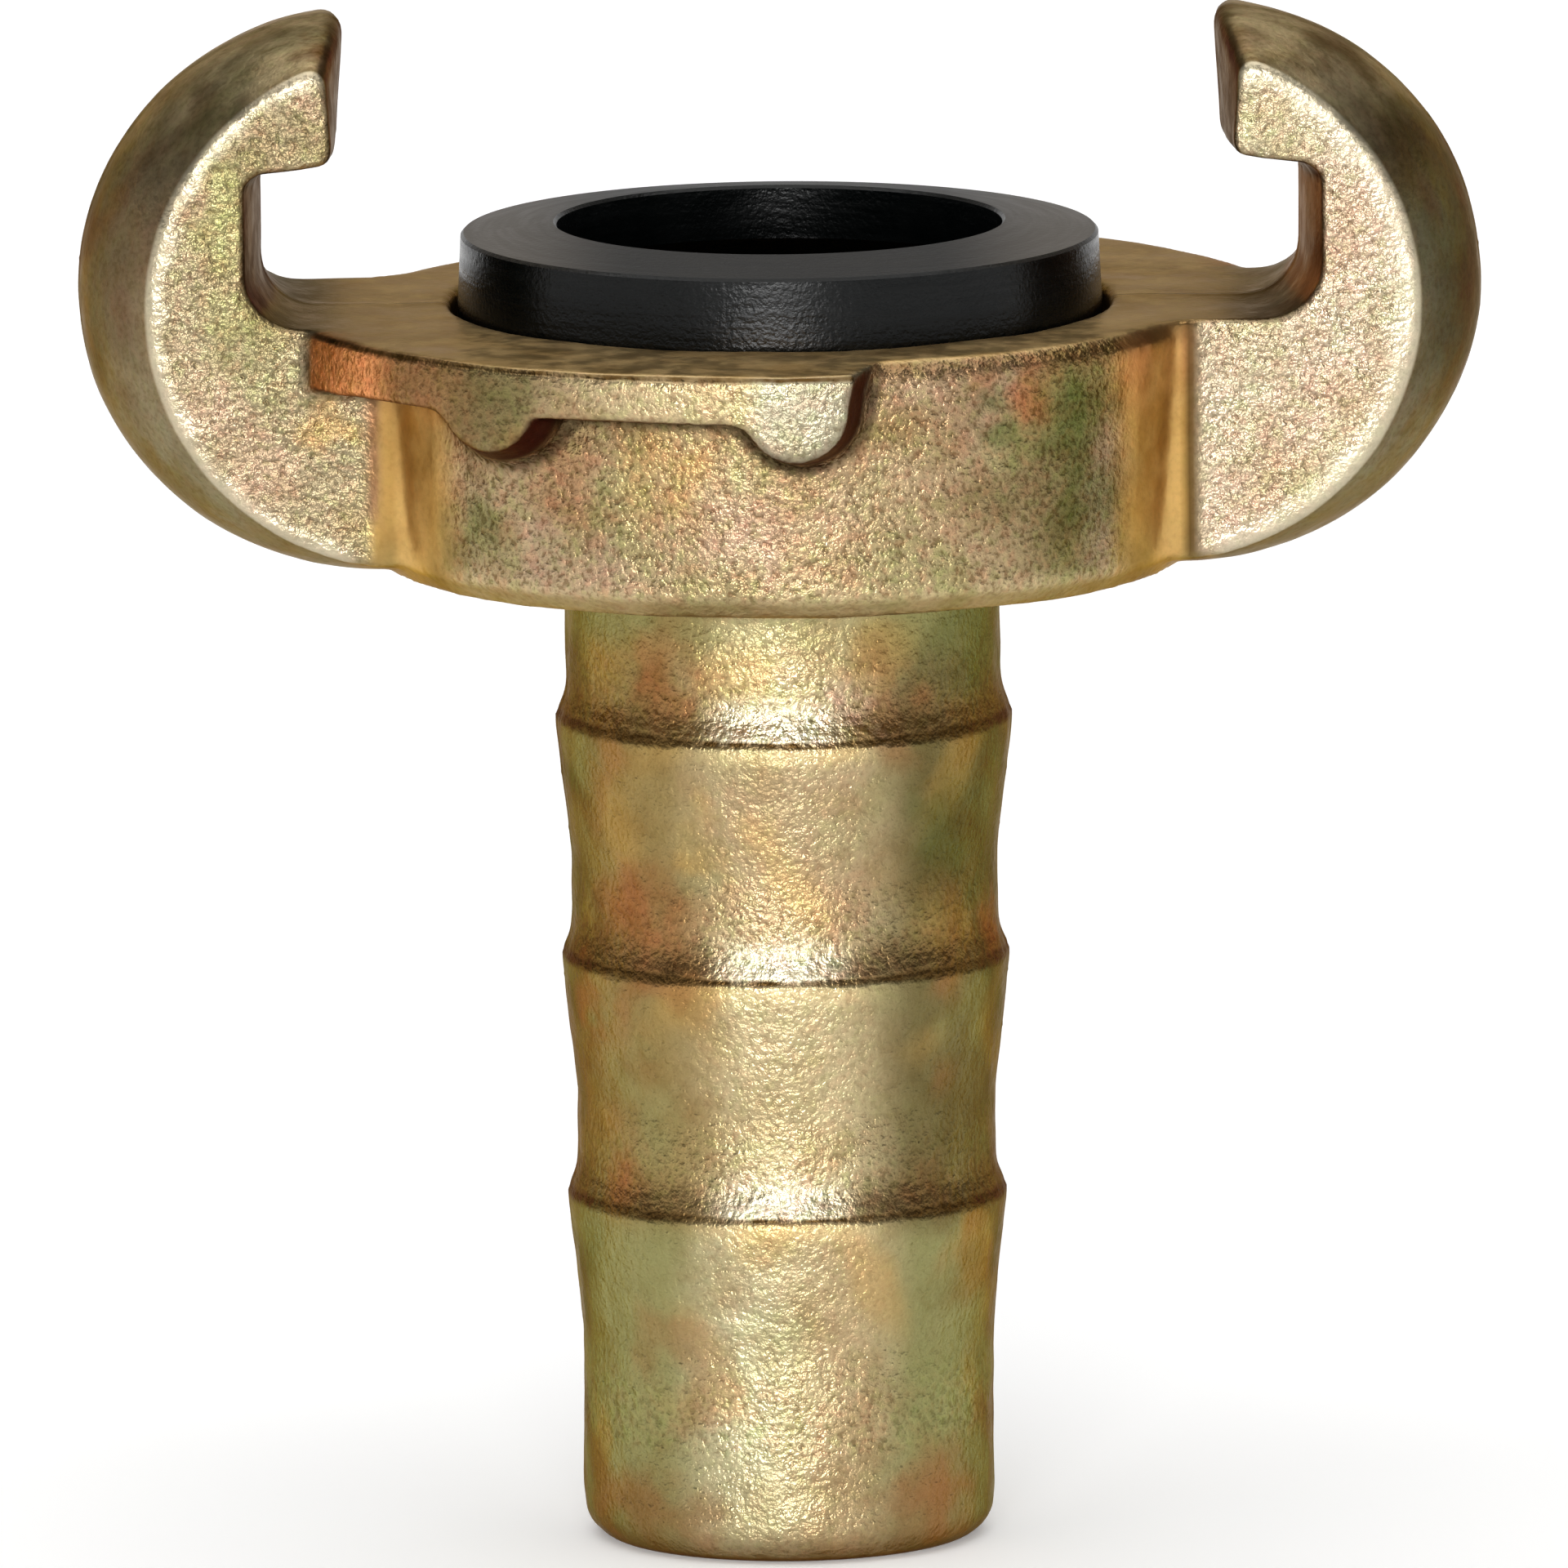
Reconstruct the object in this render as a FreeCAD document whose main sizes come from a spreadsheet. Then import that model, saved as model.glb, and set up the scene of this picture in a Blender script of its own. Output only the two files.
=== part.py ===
import FreeCAD, Part
import math
import os
import Sketcher

# Claw coupling for compressed air, with a hose tail.
# One malleable iron casting carries two claws, two cam ledges and a barbed tail.
# One rubber ring snaps into the groove behind its mouth and seals face to face.
# Frame: origin at the centre of the tail's open end, +Z along the bore towards the face,
# X through the claws. The mould parts along the XZ plane, so every draft opens along Y.

doc = FreeCAD.newDocument("ClawCoupling")
sizes = doc.addObject("Spreadsheet::Sheet", "sizes")

SIZES = [
    # The claws, whose tips stand at the standard spacing
    ("claw_spacing", 42.0, "distance between the two claw tips, the standard size of this coupling"),
    ("claw_depth", 16.5, "width of a claw, from its front face to its back face"),
    ("claw_height", 14.3, "height of a claw above the coupling face, at the parting plane"),
    ("back_inset", 0.5, "how far inside the tip the centre of the back's curve lies"),
    ("side_inset", 3.0, "the same where the back meets the claw's front and back faces"),
    ("side_draft", 0.8, "how much smaller the radius of the back is at those faces"),
    ("tip_lean", 0.4, "how far the lower edge of a tip stands back from its upper edge"),
    ("tip_draft", 1.1, "how far a tip's upper corner draws back at the claw's faces"),
    ("tip_lower_draft", 0.3, "the same at the tip's lower corner"),
    ("tip_round", 0.9, "rounding of a tip's upper corner"),
    ("lip_round", 0.8, "rounding of a tip's lower corner"),
    ("lip_height", 7.6, "height of the hook's underside above the face, at the tip"),
    ("lip_slope", 0.5, "how much lower the underside lies where it meets the throat"),
    ("lip_draft", 0.3, "how much higher the underside lies at the claw's faces"),
    ("hook_overhang", 4.1, "how far the tip reaches in from the throat wall"),
    ("throat_draft", 0.9, "how far the throat wall draws back at the claw's faces"),
    ("throat_corner", 0.5, "chamfer where the hook's underside meets the throat wall"),
    ("throat_floor_round", 2.6, "rounding where the throat wall meets the coupling face"),
    ("claw_root_round", 3.2, "rounding between a claw's face and the head's wall"),
    # The head: a cup with a flat coupling face
    ("head_height", 12.7, "from the head's underside to the coupling face"),
    ("tip_clearance", 0.1, "gap between the head's wall and the claw tips of the other coupling"),
    ("wall_draft", 0.5, "how much smaller the wall's radius is at the underside"),
    ("wall_top_edge", 0.7, "bevel of the wall's upper edge, where no ledge covers it"),
    ("wall_bottom_edge", 1.0, "bevel of the wall's lower edge"),
    ("web_clearance", 1.1, "how far the claw's root stays above the head's underside"),
    # The cam ledges that the other coupling's hooks turn under
    ("ledge_clearance", 0.6, "gap between a ledge and the throat wall of the other coupling"),
    ("ledge_edge", 0.3, "bevel of the ledge's upper edge"),
    ("ledge_end", 2.7, "where a ledge and its stop lobe end, to the right of the front"),
    ("ledge_end_lean", 0.2, "how much further right the end lies for each millimetre upwards"),
    ("ledge_entry_depth", 2.5, "depth of a ledge at its open end"),
    ("ledge_claw_depth", 2.1, "depth of a ledge beside the claw, before its draft"),
    ("ledge_draft", 0.05, "how much the underside drops for each millimetre towards the wall"),
    ("ledge_end_draft", 0.28, "the same for the end of the ledge"),
    ("stop_rise", 1.8, "how far the stop lobe stands below the ledge's open end"),
    ("stop_round", 2.5, "radius of the stop lobe's round bottom"),
    ("detent_place", 12.6, "from the front to the near side of the detent lobe"),
    ("detent_inset", 2.9, "from the ledge's rim to the plane where the detent lobe is measured"),
    ("detent_rise", 1.3, "how far the detent lobe stands below the ledge's open end"),
    ("detent_round", 2.1, "radius of the detent lobe's round bottom"),
    ("detent_side_draft", 0.6, "draft of the detent lobe's near side"),
    # The hose tail
    ("tail_length", 48.0, "from the tail's open end to the head's underside"),
    ("tail_radius", 10.0, "outer radius of the tail's end"),
    ("tail_wall", 2.75, "wall thickness of the tail's end"),
    ("tail_end_round", 1.7, "rounding of the tail's outer end"),
    ("tail_root_flare", 1.3, "bevel where the tail meets the head"),
    ("entry_length", 10.25, "length of the even end of the tail, below its first barb"),
    ("neck_step", 0.19, "how much each stretch between barbs is larger than the one below it"),
    ("neck_length", 4.0, "least length of the even stretch above the last barb"),
    ("barb_height", 0.68, "how far a barb stands out from the stretch below it"),
    ("barb_taper", 7.1, "length of a barb's slope on the hose's side, with its crest"),
    ("barb_land", 0.9, "length of the even stretch on a barb's crest"),
    ("barb_shoulder", 0.8, "length of a barb's shoulder on the head's side"),
    ("barb_nose", 0.28, "bevel of a barb's crest towards the head"),
    ("barb_rest", 3.8, "length of the even stretch between a shoulder and the next slope"),
    # The inside
    ("bore_edge", 0.3, "bevel of the bore at the tail's end"),
    ("shelf_width", 1.3, "how far the groove's floor reaches in past the ring's foot"),
    ("head_floor", 3.7, "from the head's underside up to where the chamber starts to narrow"),
    ("funnel_height", 5.0, "height of the cone from the chamber down to the bore"),
    ("mouth_lip", 1.6, "depth of the lip that holds the ring in"),
    ("mouth_edge", 0.35, "bevel of the mouth's upper edge"),
    ("cup_wall", 3.88, "thickness of the head's wall around the groove"),
    # The sealing ring
    ("ring_wall", 3.6, "thickness of the ring's foot"),
    ("foot_step", 1.3, "how far the ring's foot stands out past its neck"),
    ("neck_draft", 0.15, "how much smaller the ring's radius is at its top"),
    ("seal_width", 4.65, "width of the ring's sealing face"),
    ("ring_stand", 3.3, "how far the ring stands out of the face at its outer edge"),
    ("ring_crown", 0.5, "how much higher the ring's inner edge stands"),
    ("ring_top_edge", 0.15, "bevel of the ring's two upper edges"),
    ("ring_foot_height", 4.2, "height of the ring's foot"),
    ("ring_foot_edge", 0.4, "bevel of the foot's lower edge"),
    ("ring_lip_height", 2.6, "height of the ring's inner lip"),
    ("ring_lip_slope", 1.8, "height of the slope under the inner lip"),
    ("mouth_clearance", 0.3, "gap around the ring in the mouth"),
    ("groove_clearance", 0.12, "gap around the ring's foot and above it, in the groove"),
]

for row, (alias, value, note) in enumerate(SIZES, start=1):
    sizes.set("A%d" % row, alias.replace("_", " "))
    sizes.set("B%d" % row, str(value))
    sizes.setAlias("B%d" % row, alias)
    sizes.set("C%d" % row, note)
doc.recompute()

# Places that follow from the sizes, as expressions that the sketches share
UNDERSIDE = "sizes.tail_length"
FACE = "(sizes.tail_length + sizes.head_height)"
HALF_DEPTH = "(sizes.claw_depth / 2)"
TIP = "(sizes.claw_spacing / 2)"
THROAT = "(%s + sizes.hook_overhang)" % TIP
# The back of a claw is one curve, which touches the head's underside and the claw's full height
BACK_CURVE = "((sizes.claw_height + sizes.head_height) / 2)"
BACK_CENTRE = "(%s + sizes.claw_height - %s)" % (FACE, BACK_CURVE)
WALL_RADIUS = "(%s - sizes.tip_clearance)" % TIP
WALL_FOOT = "(%s - sizes.wall_draft)" % WALL_RADIUS
LEDGE_RADIUS = "(%s - sizes.ledge_clearance)" % THROAT
# Both lobes and the ledge run back to this plane, which lies inside the claw and the head
LEDGE_BACK = "(sizes.claw_depth / 4)"
# Halfway down the thin end of a ledge, where features overlap out of sight
LEDGE_MIDDLE = "(%s - sizes.ledge_claw_depth / 2)" % FACE
GROOVE_RADIUS = "(%s - sizes.cup_wall)" % WALL_RADIUS
RING_FOOT = "(%s - sizes.groove_clearance)" % GROOVE_RADIUS
RING_INNER = "(%s - sizes.ring_wall)" % RING_FOOT
RING_NECK = "(%s - sizes.foot_step)" % RING_FOOT
RING_TOP = "(%s - sizes.neck_draft)" % RING_NECK
RING_BORE = "(%s - sizes.seal_width)" % RING_TOP
MOUTH_RADIUS = "(%s + sizes.mouth_clearance)" % RING_NECK
CHAMBER_RADIUS = "(%s - sizes.shelf_width)" % RING_INNER
GROOVE_FLOOR = "(%s - sizes.mouth_lip - sizes.ring_foot_height - sizes.groove_clearance)" % FACE
BORE_RADIUS = "(sizes.tail_radius - sizes.tail_wall)"
FIRST_CREST = "(sizes.entry_length + sizes.barb_taper)"
BARB_PITCH = "(sizes.barb_rest + sizes.barb_taper + sizes.barb_shoulder)"
# Tools that open a face start this far beyond it
BEYOND = "sizes.head_height"
# A cutting ring this many times the disc's radius clears the corners of its square
PAST_CORNERS = 1.5
# Two points closer than this, in millimetres, are taken as one
POSITION_TOLERANCE = 0.02


def number(expression):
    """The value of an expression, in millimetres."""
    return float(sizes.evalExpression(str(expression)))


def start_sketch(body, name, role, offset=None):
    """A sketch on one of the body's own origin planes, or on a plane parallel to it."""
    plane = [item for item in body.Origin.OriginFeatures if item.Role == role][0]
    sketch = body.newObject("Sketcher::SketchObject", name)
    sketch.AttachmentSupport = [(plane, "")]
    sketch.MapMode = "FlatFace"
    if offset is not None:
        sketch.setExpression("AttachmentOffset.Base.z", offset)
    return sketch


def pin(sketch, direction, geometry, end, expression, name):
    """Ties one coordinate of a point to an expression."""
    value = number(expression)
    if abs(value) < POSITION_TOLERANCE:
        axis = -2 if direction == "DistanceX" else -1
        sketch.addConstraint(Sketcher.Constraint("PointOnObject", geometry, end, axis))
        return
    index = sketch.addConstraint(Sketcher.Constraint(direction, -1, 1, geometry, end, value))
    sketch.renameConstraint(index, name)
    sketch.setExpression("Constraints." + name, str(expression))


def centre_of(start, end, radius, turn):
    """Centre of the short arc from start to end that turns left (+1) or right (-1)."""
    chord = end - start
    half = chord.Length / 2
    rise = math.sqrt(max(radius * radius - half * half, 0.0))
    side = FreeCAD.Vector(-chord.y, chord.x, 0).normalize() * turn
    return (start + end) * 0.5 + side * rise


def draw(sketch, corners, bends=None, centred=None):
    """Closes an outline through the corners, which are pairs of expressions.

    bends maps a corner's number to (radius, turn): the edge after it is an arc.
    centred maps a corner's number to (across, up, radius): the edge after it is an arc
    about that centre, turning left, and its two ends are found by their places across.
    """
    bends = bends or {}
    centred = centred or {}
    count = len(corners)
    points = [FreeCAD.Vector(number(across), number(up), 0) for across, up in corners]
    free_up = set()
    for index in centred:
        free_up.update((index, (index + 1) % count))
    joints = []
    for index in range(count):
        start = points[index]
        end = points[(index + 1) % count]
        if index in bends or index in centred:
            if index in bends:
                radius, turn = bends[index]
                centre = centre_of(start, end, number(radius), turn)
            else:
                across, up, radius = centred[index]
                turn = 1
                centre = FreeCAD.Vector(number(across), number(up), 0)
            first, last = (start, end) if turn > 0 else (end, start)
            angles = [math.atan2(point.y - centre.y, point.x - centre.x) for point in (first, last)]
            circle = Part.Circle(centre, FreeCAD.Vector(0, 0, 1), number(radius))
            geometry = sketch.addGeometry(Part.ArcOfCircle(circle, angles[0], angles[1]))
            joints.append((geometry, 1, 2) if turn > 0 else (geometry, 2, 1))
        else:
            geometry = sketch.addGeometry(Part.LineSegment(start, end))
            joints.append((geometry, 1, 2))
    for index in range(count):
        here = joints[index]
        there = joints[(index + 1) % count]
        sketch.addConstraint(Sketcher.Constraint("Coincident", here[0], here[2], there[0], there[1]))
    for index, (across, up) in enumerate(corners):
        geometry, begin, _ = joints[index]
        pin(sketch, "DistanceX", geometry, begin, across, "across_%d" % index)
        if index not in free_up:
            pin(sketch, "DistanceY", geometry, begin, up, "up_%d" % index)
    for index, (radius, _) in bends.items():
        tie_radius(sketch, joints[index][0], radius, index)
    for index, (across, up, radius) in centred.items():
        geometry = joints[index][0]
        tie_radius(sketch, geometry, radius, index)
        pin(sketch, "DistanceX", geometry, 3, across, "centre_across_%d" % index)
        pin(sketch, "DistanceY", geometry, 3, up, "centre_up_%d" % index)


def tie_radius(sketch, geometry, radius, index):
    """Ties an arc's radius to an expression."""
    constraint = sketch.addConstraint(Sketcher.Constraint("Radius", geometry, number(radius)))
    name = "radius_%d" % index
    sketch.renameConstraint(constraint, name)
    sketch.setExpression("Constraints." + name, str(radius))


def spin(body, kind, name, sketch):
    """Turns a sketch once round the bore axis, to add it or to cut it away."""
    feature = body.newObject("PartDesign::" + kind, name)
    feature.Profile = sketch
    feature.ReferenceAxis = (sketch, ["V_Axis"])
    feature.Angle = 360.0
    sketch.Visibility = False
    doc.recompute()
    return feature


def pad_down(body, name, sketch, length):
    """Adds a block under a sketch that lies in the coupling face."""
    feature = body.newObject("PartDesign::Pad", name)
    feature.Profile = sketch
    feature.setExpression("Length", length)
    feature.Reversed = True
    doc.recompute()
    return feature


def loft(body, name, sections):
    """Adds a loft through sketches on parallel planes."""
    feature = body.newObject("PartDesign::AdditiveLoft", name)
    feature.Profile = sections[0]
    feature.Sections = sections[1:]
    feature.Ruled = False
    doc.recompute()
    return feature


def repeat_opposite(body, name, features):
    """Repeats features on the other side of the bore axis."""
    bore_axis = [item for item in body.Origin.OriginFeatures if item.Role == "Z_Axis"][0]
    pattern = body.newObject("PartDesign::PolarPattern", name)
    pattern.Originals = features
    pattern.Axis = (bore_axis, [""])
    pattern.Angle = 360.0
    pattern.Occurrences = 2
    body.Tip = pattern
    doc.recompute()
    return pattern


def edges_at(shape, across, up):
    """Names of the edges along Y whose ends lie at one place in the front view, on both sides."""
    names = []
    for index, edge in enumerate(shape.Edges, start=1):
        ends = [vertex.Point for vertex in edge.Vertexes]
        if len(ends) != 2 or abs(ends[0].y - ends[1].y) < number(HALF_DEPTH):
            continue
        misses = [math.hypot(abs(end.x) - across, end.z - up) for end in ends]
        if max(misses) < POSITION_TOLERANCE:
            names.append("Edge%d" % index)
    return names


def round_edges(body, name, base, place, radius):
    """Rounds the edges that run across both claws at one place in the front view."""
    feature = body.newObject("PartDesign::Fillet", name)
    feature.Base = (base, edges_at(base.Shape, *place))
    feature.setExpression("Radius", radius)
    body.Tip = feature
    doc.recompute()
    return feature


def barb_count():
    """As many barbs as fit below the neck."""
    room = "sizes.tail_length - sizes.neck_length - sizes.barb_shoulder - " + FIRST_CREST
    return 1 + math.floor(number("(%s) / %s" % (room, BARB_PITCH)))


def head_and_tail(body):
    """The turned form of the casting: barbed tail and cup, still solid inside."""
    corners = [("0", "0"), ("sizes.tail_radius - sizes.tail_end_round", "0"),
               ("sizes.tail_radius", "sizes.tail_end_round")]
    count = barb_count()
    for barb in range(count):
        crest = "(%s + %d * %s)" % (FIRST_CREST, barb, BARB_PITCH)
        below = "(sizes.tail_radius + %d * sizes.neck_step)" % barb
        above = "(sizes.tail_radius + %d * sizes.neck_step)" % (barb + 1)
        peak = "(%s + sizes.barb_height)" % below
        corners.append((below, crest + " - sizes.barb_taper"))
        corners.append((peak, crest + " - sizes.barb_land"))
        corners.append((peak, crest))
        corners.append((peak + " - sizes.barb_nose", crest + " + sizes.barb_nose"))
        corners.append((above, crest + " + sizes.barb_shoulder"))
    neck = "(sizes.tail_radius + %d * sizes.neck_step)" % count
    corners.append((neck, UNDERSIDE + " - sizes.tail_root_flare"))
    corners.append((neck + " + sizes.tail_root_flare", UNDERSIDE))
    corners.append((WALL_FOOT + " - sizes.wall_bottom_edge", UNDERSIDE))
    corners.append((WALL_FOOT, UNDERSIDE + " + sizes.wall_bottom_edge"))
    corners.append((WALL_RADIUS, FACE + " - sizes.wall_top_edge"))
    corners.append((WALL_RADIUS + " - sizes.wall_top_edge", FACE))
    corners.append(("0", FACE))
    sketch = start_sketch(body, "TurnedOutline", "XZ_Plane")
    draw(sketch, corners, {1: ("sizes.tail_end_round", 1)})
    return spin(body, "Revolution", "HeadAndTail", sketch)


def lobe_corners(floor, lowest, end, radius):
    """Underside of a lobe: a hollow bend down from the floor, then a round bottom up to its end.

    The two bends meet 60 degrees steep, so both follow from the lobe's radius and depth.
    Gives the three corners and the radius of the hollow bend.
    """
    centre = "(%s + %s)" % (lowest, radius)
    flank_up = "(%s - %s / 2)" % (centre, radius)
    flank = "(%s - (1 + sqrt(3) / 2) * %s)" % (end, radius)
    drop = "(%s - %s)" % (floor, flank_up)
    corners = [("%s - sqrt(3) * %s" % (flank, drop), floor), (flank, flank_up), (end, centre)]
    return corners, "2 * " + drop


def ledge_section(body, name, offset, inset):
    """Front view of a ledge and its stop lobe, larger by its draft the nearer it is to the axis."""
    growth = "%s * sizes.ledge_end_draft / 2" % inset
    drop = "%s * sizes.ledge_draft" % inset
    floor = "(%s - sizes.ledge_entry_depth - %s)" % (FACE, drop)
    lowest = "(%s - sizes.stop_rise - %s)" % (floor, growth)
    radius = "(sizes.stop_round + %s)" % growth
    end = "(sizes.ledge_end + 2 * %s)" % growth
    lobe, hollow = lobe_corners(floor, lowest, end, radius)
    top = "(%s + %s)" % (FACE, BEYOND)
    lean = "sizes.ledge_end_lean * (%s - %s - %s)" % (top, lowest, radius)
    corners = [
        ("-" + LEDGE_RADIUS, top),
        ("-" + LEDGE_RADIUS, "%s - sizes.ledge_claw_depth - %s" % (FACE, drop)),
    ]
    corners.extend(lobe)
    corners.append(("%s + %s" % (end, lean), top))
    sketch = start_sketch(body, name, "XZ_Plane", offset)
    draw(sketch, corners, {2: (hollow, -1), 3: (radius, 1)})
    return sketch


def detent_section(body, name, offset, inset):
    """Front view of the detent lobe, which stands under the ledge beside the claw."""
    growth = "%s * sizes.detent_side_draft / 2" % inset
    floor = "(%s - sizes.ledge_claw_depth)" % FACE
    lowest = "(%s - sizes.ledge_entry_depth - sizes.detent_rise - %s)" % (FACE, growth)
    radius = "(sizes.detent_round + %s)" % growth
    end = "(2 * %s - sizes.detent_place)" % growth
    lobe, hollow = lobe_corners(floor, lowest, end, radius)
    corners = [(lobe[0][0], LEDGE_MIDDLE)]
    corners.extend(lobe)
    corners.append((end, LEDGE_MIDDLE))
    sketch = start_sketch(body, name, "XZ_Plane", offset)
    draw(sketch, corners, {1: (hollow, -1), 2: (radius, 1)})
    return sketch


def cam_ledges(body):
    """The two ledges with their lobes, cast in the mould's halves and trimmed to a disc."""
    span = "(%s - %s)" % (LEDGE_RADIUS, LEDGE_BACK)
    front = ledge_section(body, "LedgeFront", LEDGE_RADIUS, "0")
    back = ledge_section(body, "LedgeBack", LEDGE_BACK, span)
    ledge = loft(body, "Ledge", [front, back])
    measured = "(%s - sizes.detent_inset)" % LEDGE_RADIUS
    reach = "(%s - %s)" % (measured, LEDGE_BACK)
    near = detent_section(body, "DetentFront", measured, "0")
    deep = detent_section(body, "DetentBack", LEDGE_BACK, reach)
    detent = loft(body, "Detent", [near, deep])
    repeat_opposite(body, "LedgePair", [ledge, detent])
    outside = "%s * %s" % (PAST_CORNERS, LEDGE_RADIUS)
    above = "%s + 2 * %s" % (FACE, BEYOND)
    corners = [
        ("0", FACE),
        (LEDGE_RADIUS + " - sizes.ledge_edge", FACE),
        (LEDGE_RADIUS, FACE + " - sizes.ledge_edge"),
        (LEDGE_RADIUS, UNDERSIDE),
        (outside, UNDERSIDE),
        (outside, above),
        ("0", above),
    ]
    sketch = start_sketch(body, "DiscOutline", "XZ_Plane")
    draw(sketch, corners)
    return spin(body, "Groove", "TrimToDisc", sketch)


def claw_roots(body):
    """The webs that carry the claws, with their rounded corners against the wall."""
    swing = "(%s + sizes.claw_root_round)" % WALL_FOOT
    side = "(%s + sizes.claw_root_round)" % HALF_DEPTH
    tangent = "sqrt(%s ^ 2 - %s ^ 2)" % (swing, side)
    share = "(%s / %s)" % (WALL_FOOT, swing)
    inner_across = "%s * %s" % (tangent, share)
    inner_up = "%s * %s" % (side, share)
    corners = [
        (RING_INNER, "-" + inner_up),
        (inner_across, "-" + inner_up),
        (tangent, "-" + HALF_DEPTH),
        (tangent, HALF_DEPTH),
        (inner_across, inner_up),
        (RING_INNER, inner_up),
    ]
    bends = {1: ("sizes.claw_root_round", -1), 3: ("sizes.claw_root_round", -1)}
    web_sketch = start_sketch(body, "RootOutline", "XY_Plane", FACE)
    draw(web_sketch, corners, bends)
    web = pad_down(body, "ClawRoot", web_sketch, "sizes.head_height - sizes.web_clearance")
    reach = "%s + sizes.throat_draft + sizes.throat_floor_round" % THROAT
    floor_sketch = start_sketch(body, "FloorOutline", "XY_Plane", FACE)
    draw(floor_sketch, [(RING_INNER, "-" + HALF_DEPTH), (reach, "-" + HALF_DEPTH),
                        (reach, HALF_DEPTH), (RING_INNER, HALF_DEPTH)])
    floor = pad_down(body, "ThroatFloor", floor_sketch, "sizes.ledge_entry_depth")
    return repeat_opposite(body, "RootPair", [web, floor])


def claw_section(body, name, offset, at_side):
    """Outline of a claw at the parting plane (at_side 0) or at one of its faces (at_side 1)."""
    curve = "(%s - %d * sizes.side_draft)" % (BACK_CURVE, at_side)
    inset = "sizes.side_inset" if at_side else "sizes.back_inset"
    reach = "(%s - %s)" % (TIP, inset)
    tip_top = "(%s + %d * sizes.tip_draft)" % (TIP, at_side)
    tip_low = "(%s + sizes.tip_lean + %d * sizes.tip_lower_draft)" % (TIP, at_side)
    lip_up = "%s + sizes.lip_height + %d * sizes.lip_draft" % (FACE, at_side)
    roof_up = lip_up + " - sizes.lip_slope"
    throat = "(%s + %d * sizes.throat_draft)" % (THROAT, at_side)
    lowest = "%s - %s" % (BACK_CENTRE, curve)
    corners = [
        (reach, lowest),
        (tip_top, "%s + sqrt(%s ^ 2 - (%s - %s) ^ 2)" % (BACK_CENTRE, curve, tip_top, reach)),
        (tip_low, lip_up),
        (throat + " - sizes.throat_corner", roof_up),
        (throat, roof_up + " - sizes.throat_corner"),
        (throat, LEDGE_MIDDLE),
        (RING_INNER, LEDGE_MIDDLE),
        (RING_INNER, lowest),
    ]
    sketch = start_sketch(body, name, "XZ_Plane", offset)
    draw(sketch, corners, centred={0: (reach, BACK_CENTRE, curve)})
    return sketch


def claws(body):
    """The two hooked claws, lofted from face to face through the parting plane."""
    front = claw_section(body, "ClawFront", HALF_DEPTH, 1)
    middle = claw_section(body, "ClawMiddle", None, 0)
    back = claw_section(body, "ClawBack", "-" + HALF_DEPTH, 1)
    claw = loft(body, "Claw", [front, middle, back])
    return repeat_opposite(body, "ClawPair", [claw])


def claw_roundings(body, base):
    """Rounds the corners of the hooks and of the throats' floors."""
    tip = number(TIP + " + sizes.tip_draft")
    curve = number(BACK_CURVE + " - sizes.side_draft")
    centre = number(TIP + " - sizes.side_inset")
    top = number(BACK_CENTRE) + math.sqrt(curve ** 2 - (tip - centre) ** 2)
    tips = round_edges(body, "TipRounding", base, (tip, top), "sizes.tip_round")
    lower = number(TIP + " + sizes.tip_lean + sizes.tip_lower_draft")
    lip = number(FACE + " + sizes.lip_height + sizes.lip_draft")
    lips = round_edges(body, "LipRounding", tips, (lower, lip), "sizes.lip_round")
    wall = number(THROAT + " + sizes.throat_draft")
    return round_edges(body, "FloorRounding", lips, (wall, number(FACE)), "sizes.throat_floor_round")


def inside(body):
    """Cuts the mouth, the ring's groove, the chamber and the bore."""
    narrowing = UNDERSIDE + " + sizes.head_floor"
    lip_under = FACE + " - sizes.mouth_lip"
    above = "%s + %s" % (FACE, BEYOND)
    corners = [
        ("0", "-" + BEYOND),
        (BORE_RADIUS + " + sizes.bore_edge", "-" + BEYOND),
        (BORE_RADIUS + " + sizes.bore_edge", "0"),
        (BORE_RADIUS, "sizes.bore_edge"),
        (BORE_RADIUS, narrowing + " - sizes.funnel_height"),
        (CHAMBER_RADIUS, narrowing),
        (CHAMBER_RADIUS, GROOVE_FLOOR),
        (GROOVE_RADIUS, GROOVE_FLOOR),
        (GROOVE_RADIUS, lip_under),
        (MOUTH_RADIUS, lip_under),
        (MOUTH_RADIUS, FACE + " - sizes.mouth_edge"),
        (MOUTH_RADIUS + " + sizes.mouth_edge", FACE),
        (MOUTH_RADIUS + " + sizes.mouth_edge", above),
        ("0", above),
    ]
    sketch = start_sketch(body, "InsideOutline", "XZ_Plane")
    draw(sketch, corners)
    return spin(body, "Groove", "Inside", sketch)


def coupling_body():
    """The casting, with claws, ledges and tail in one piece."""
    body = doc.addObject("PartDesign::Body", "coupling_body")
    body.Label = "coupling_body"
    head_and_tail(body)
    cam_ledges(body)
    claw_roots(body)
    pair = claws(body)
    claw_roundings(body, pair)
    body.Tip = inside(body)
    return body


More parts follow.
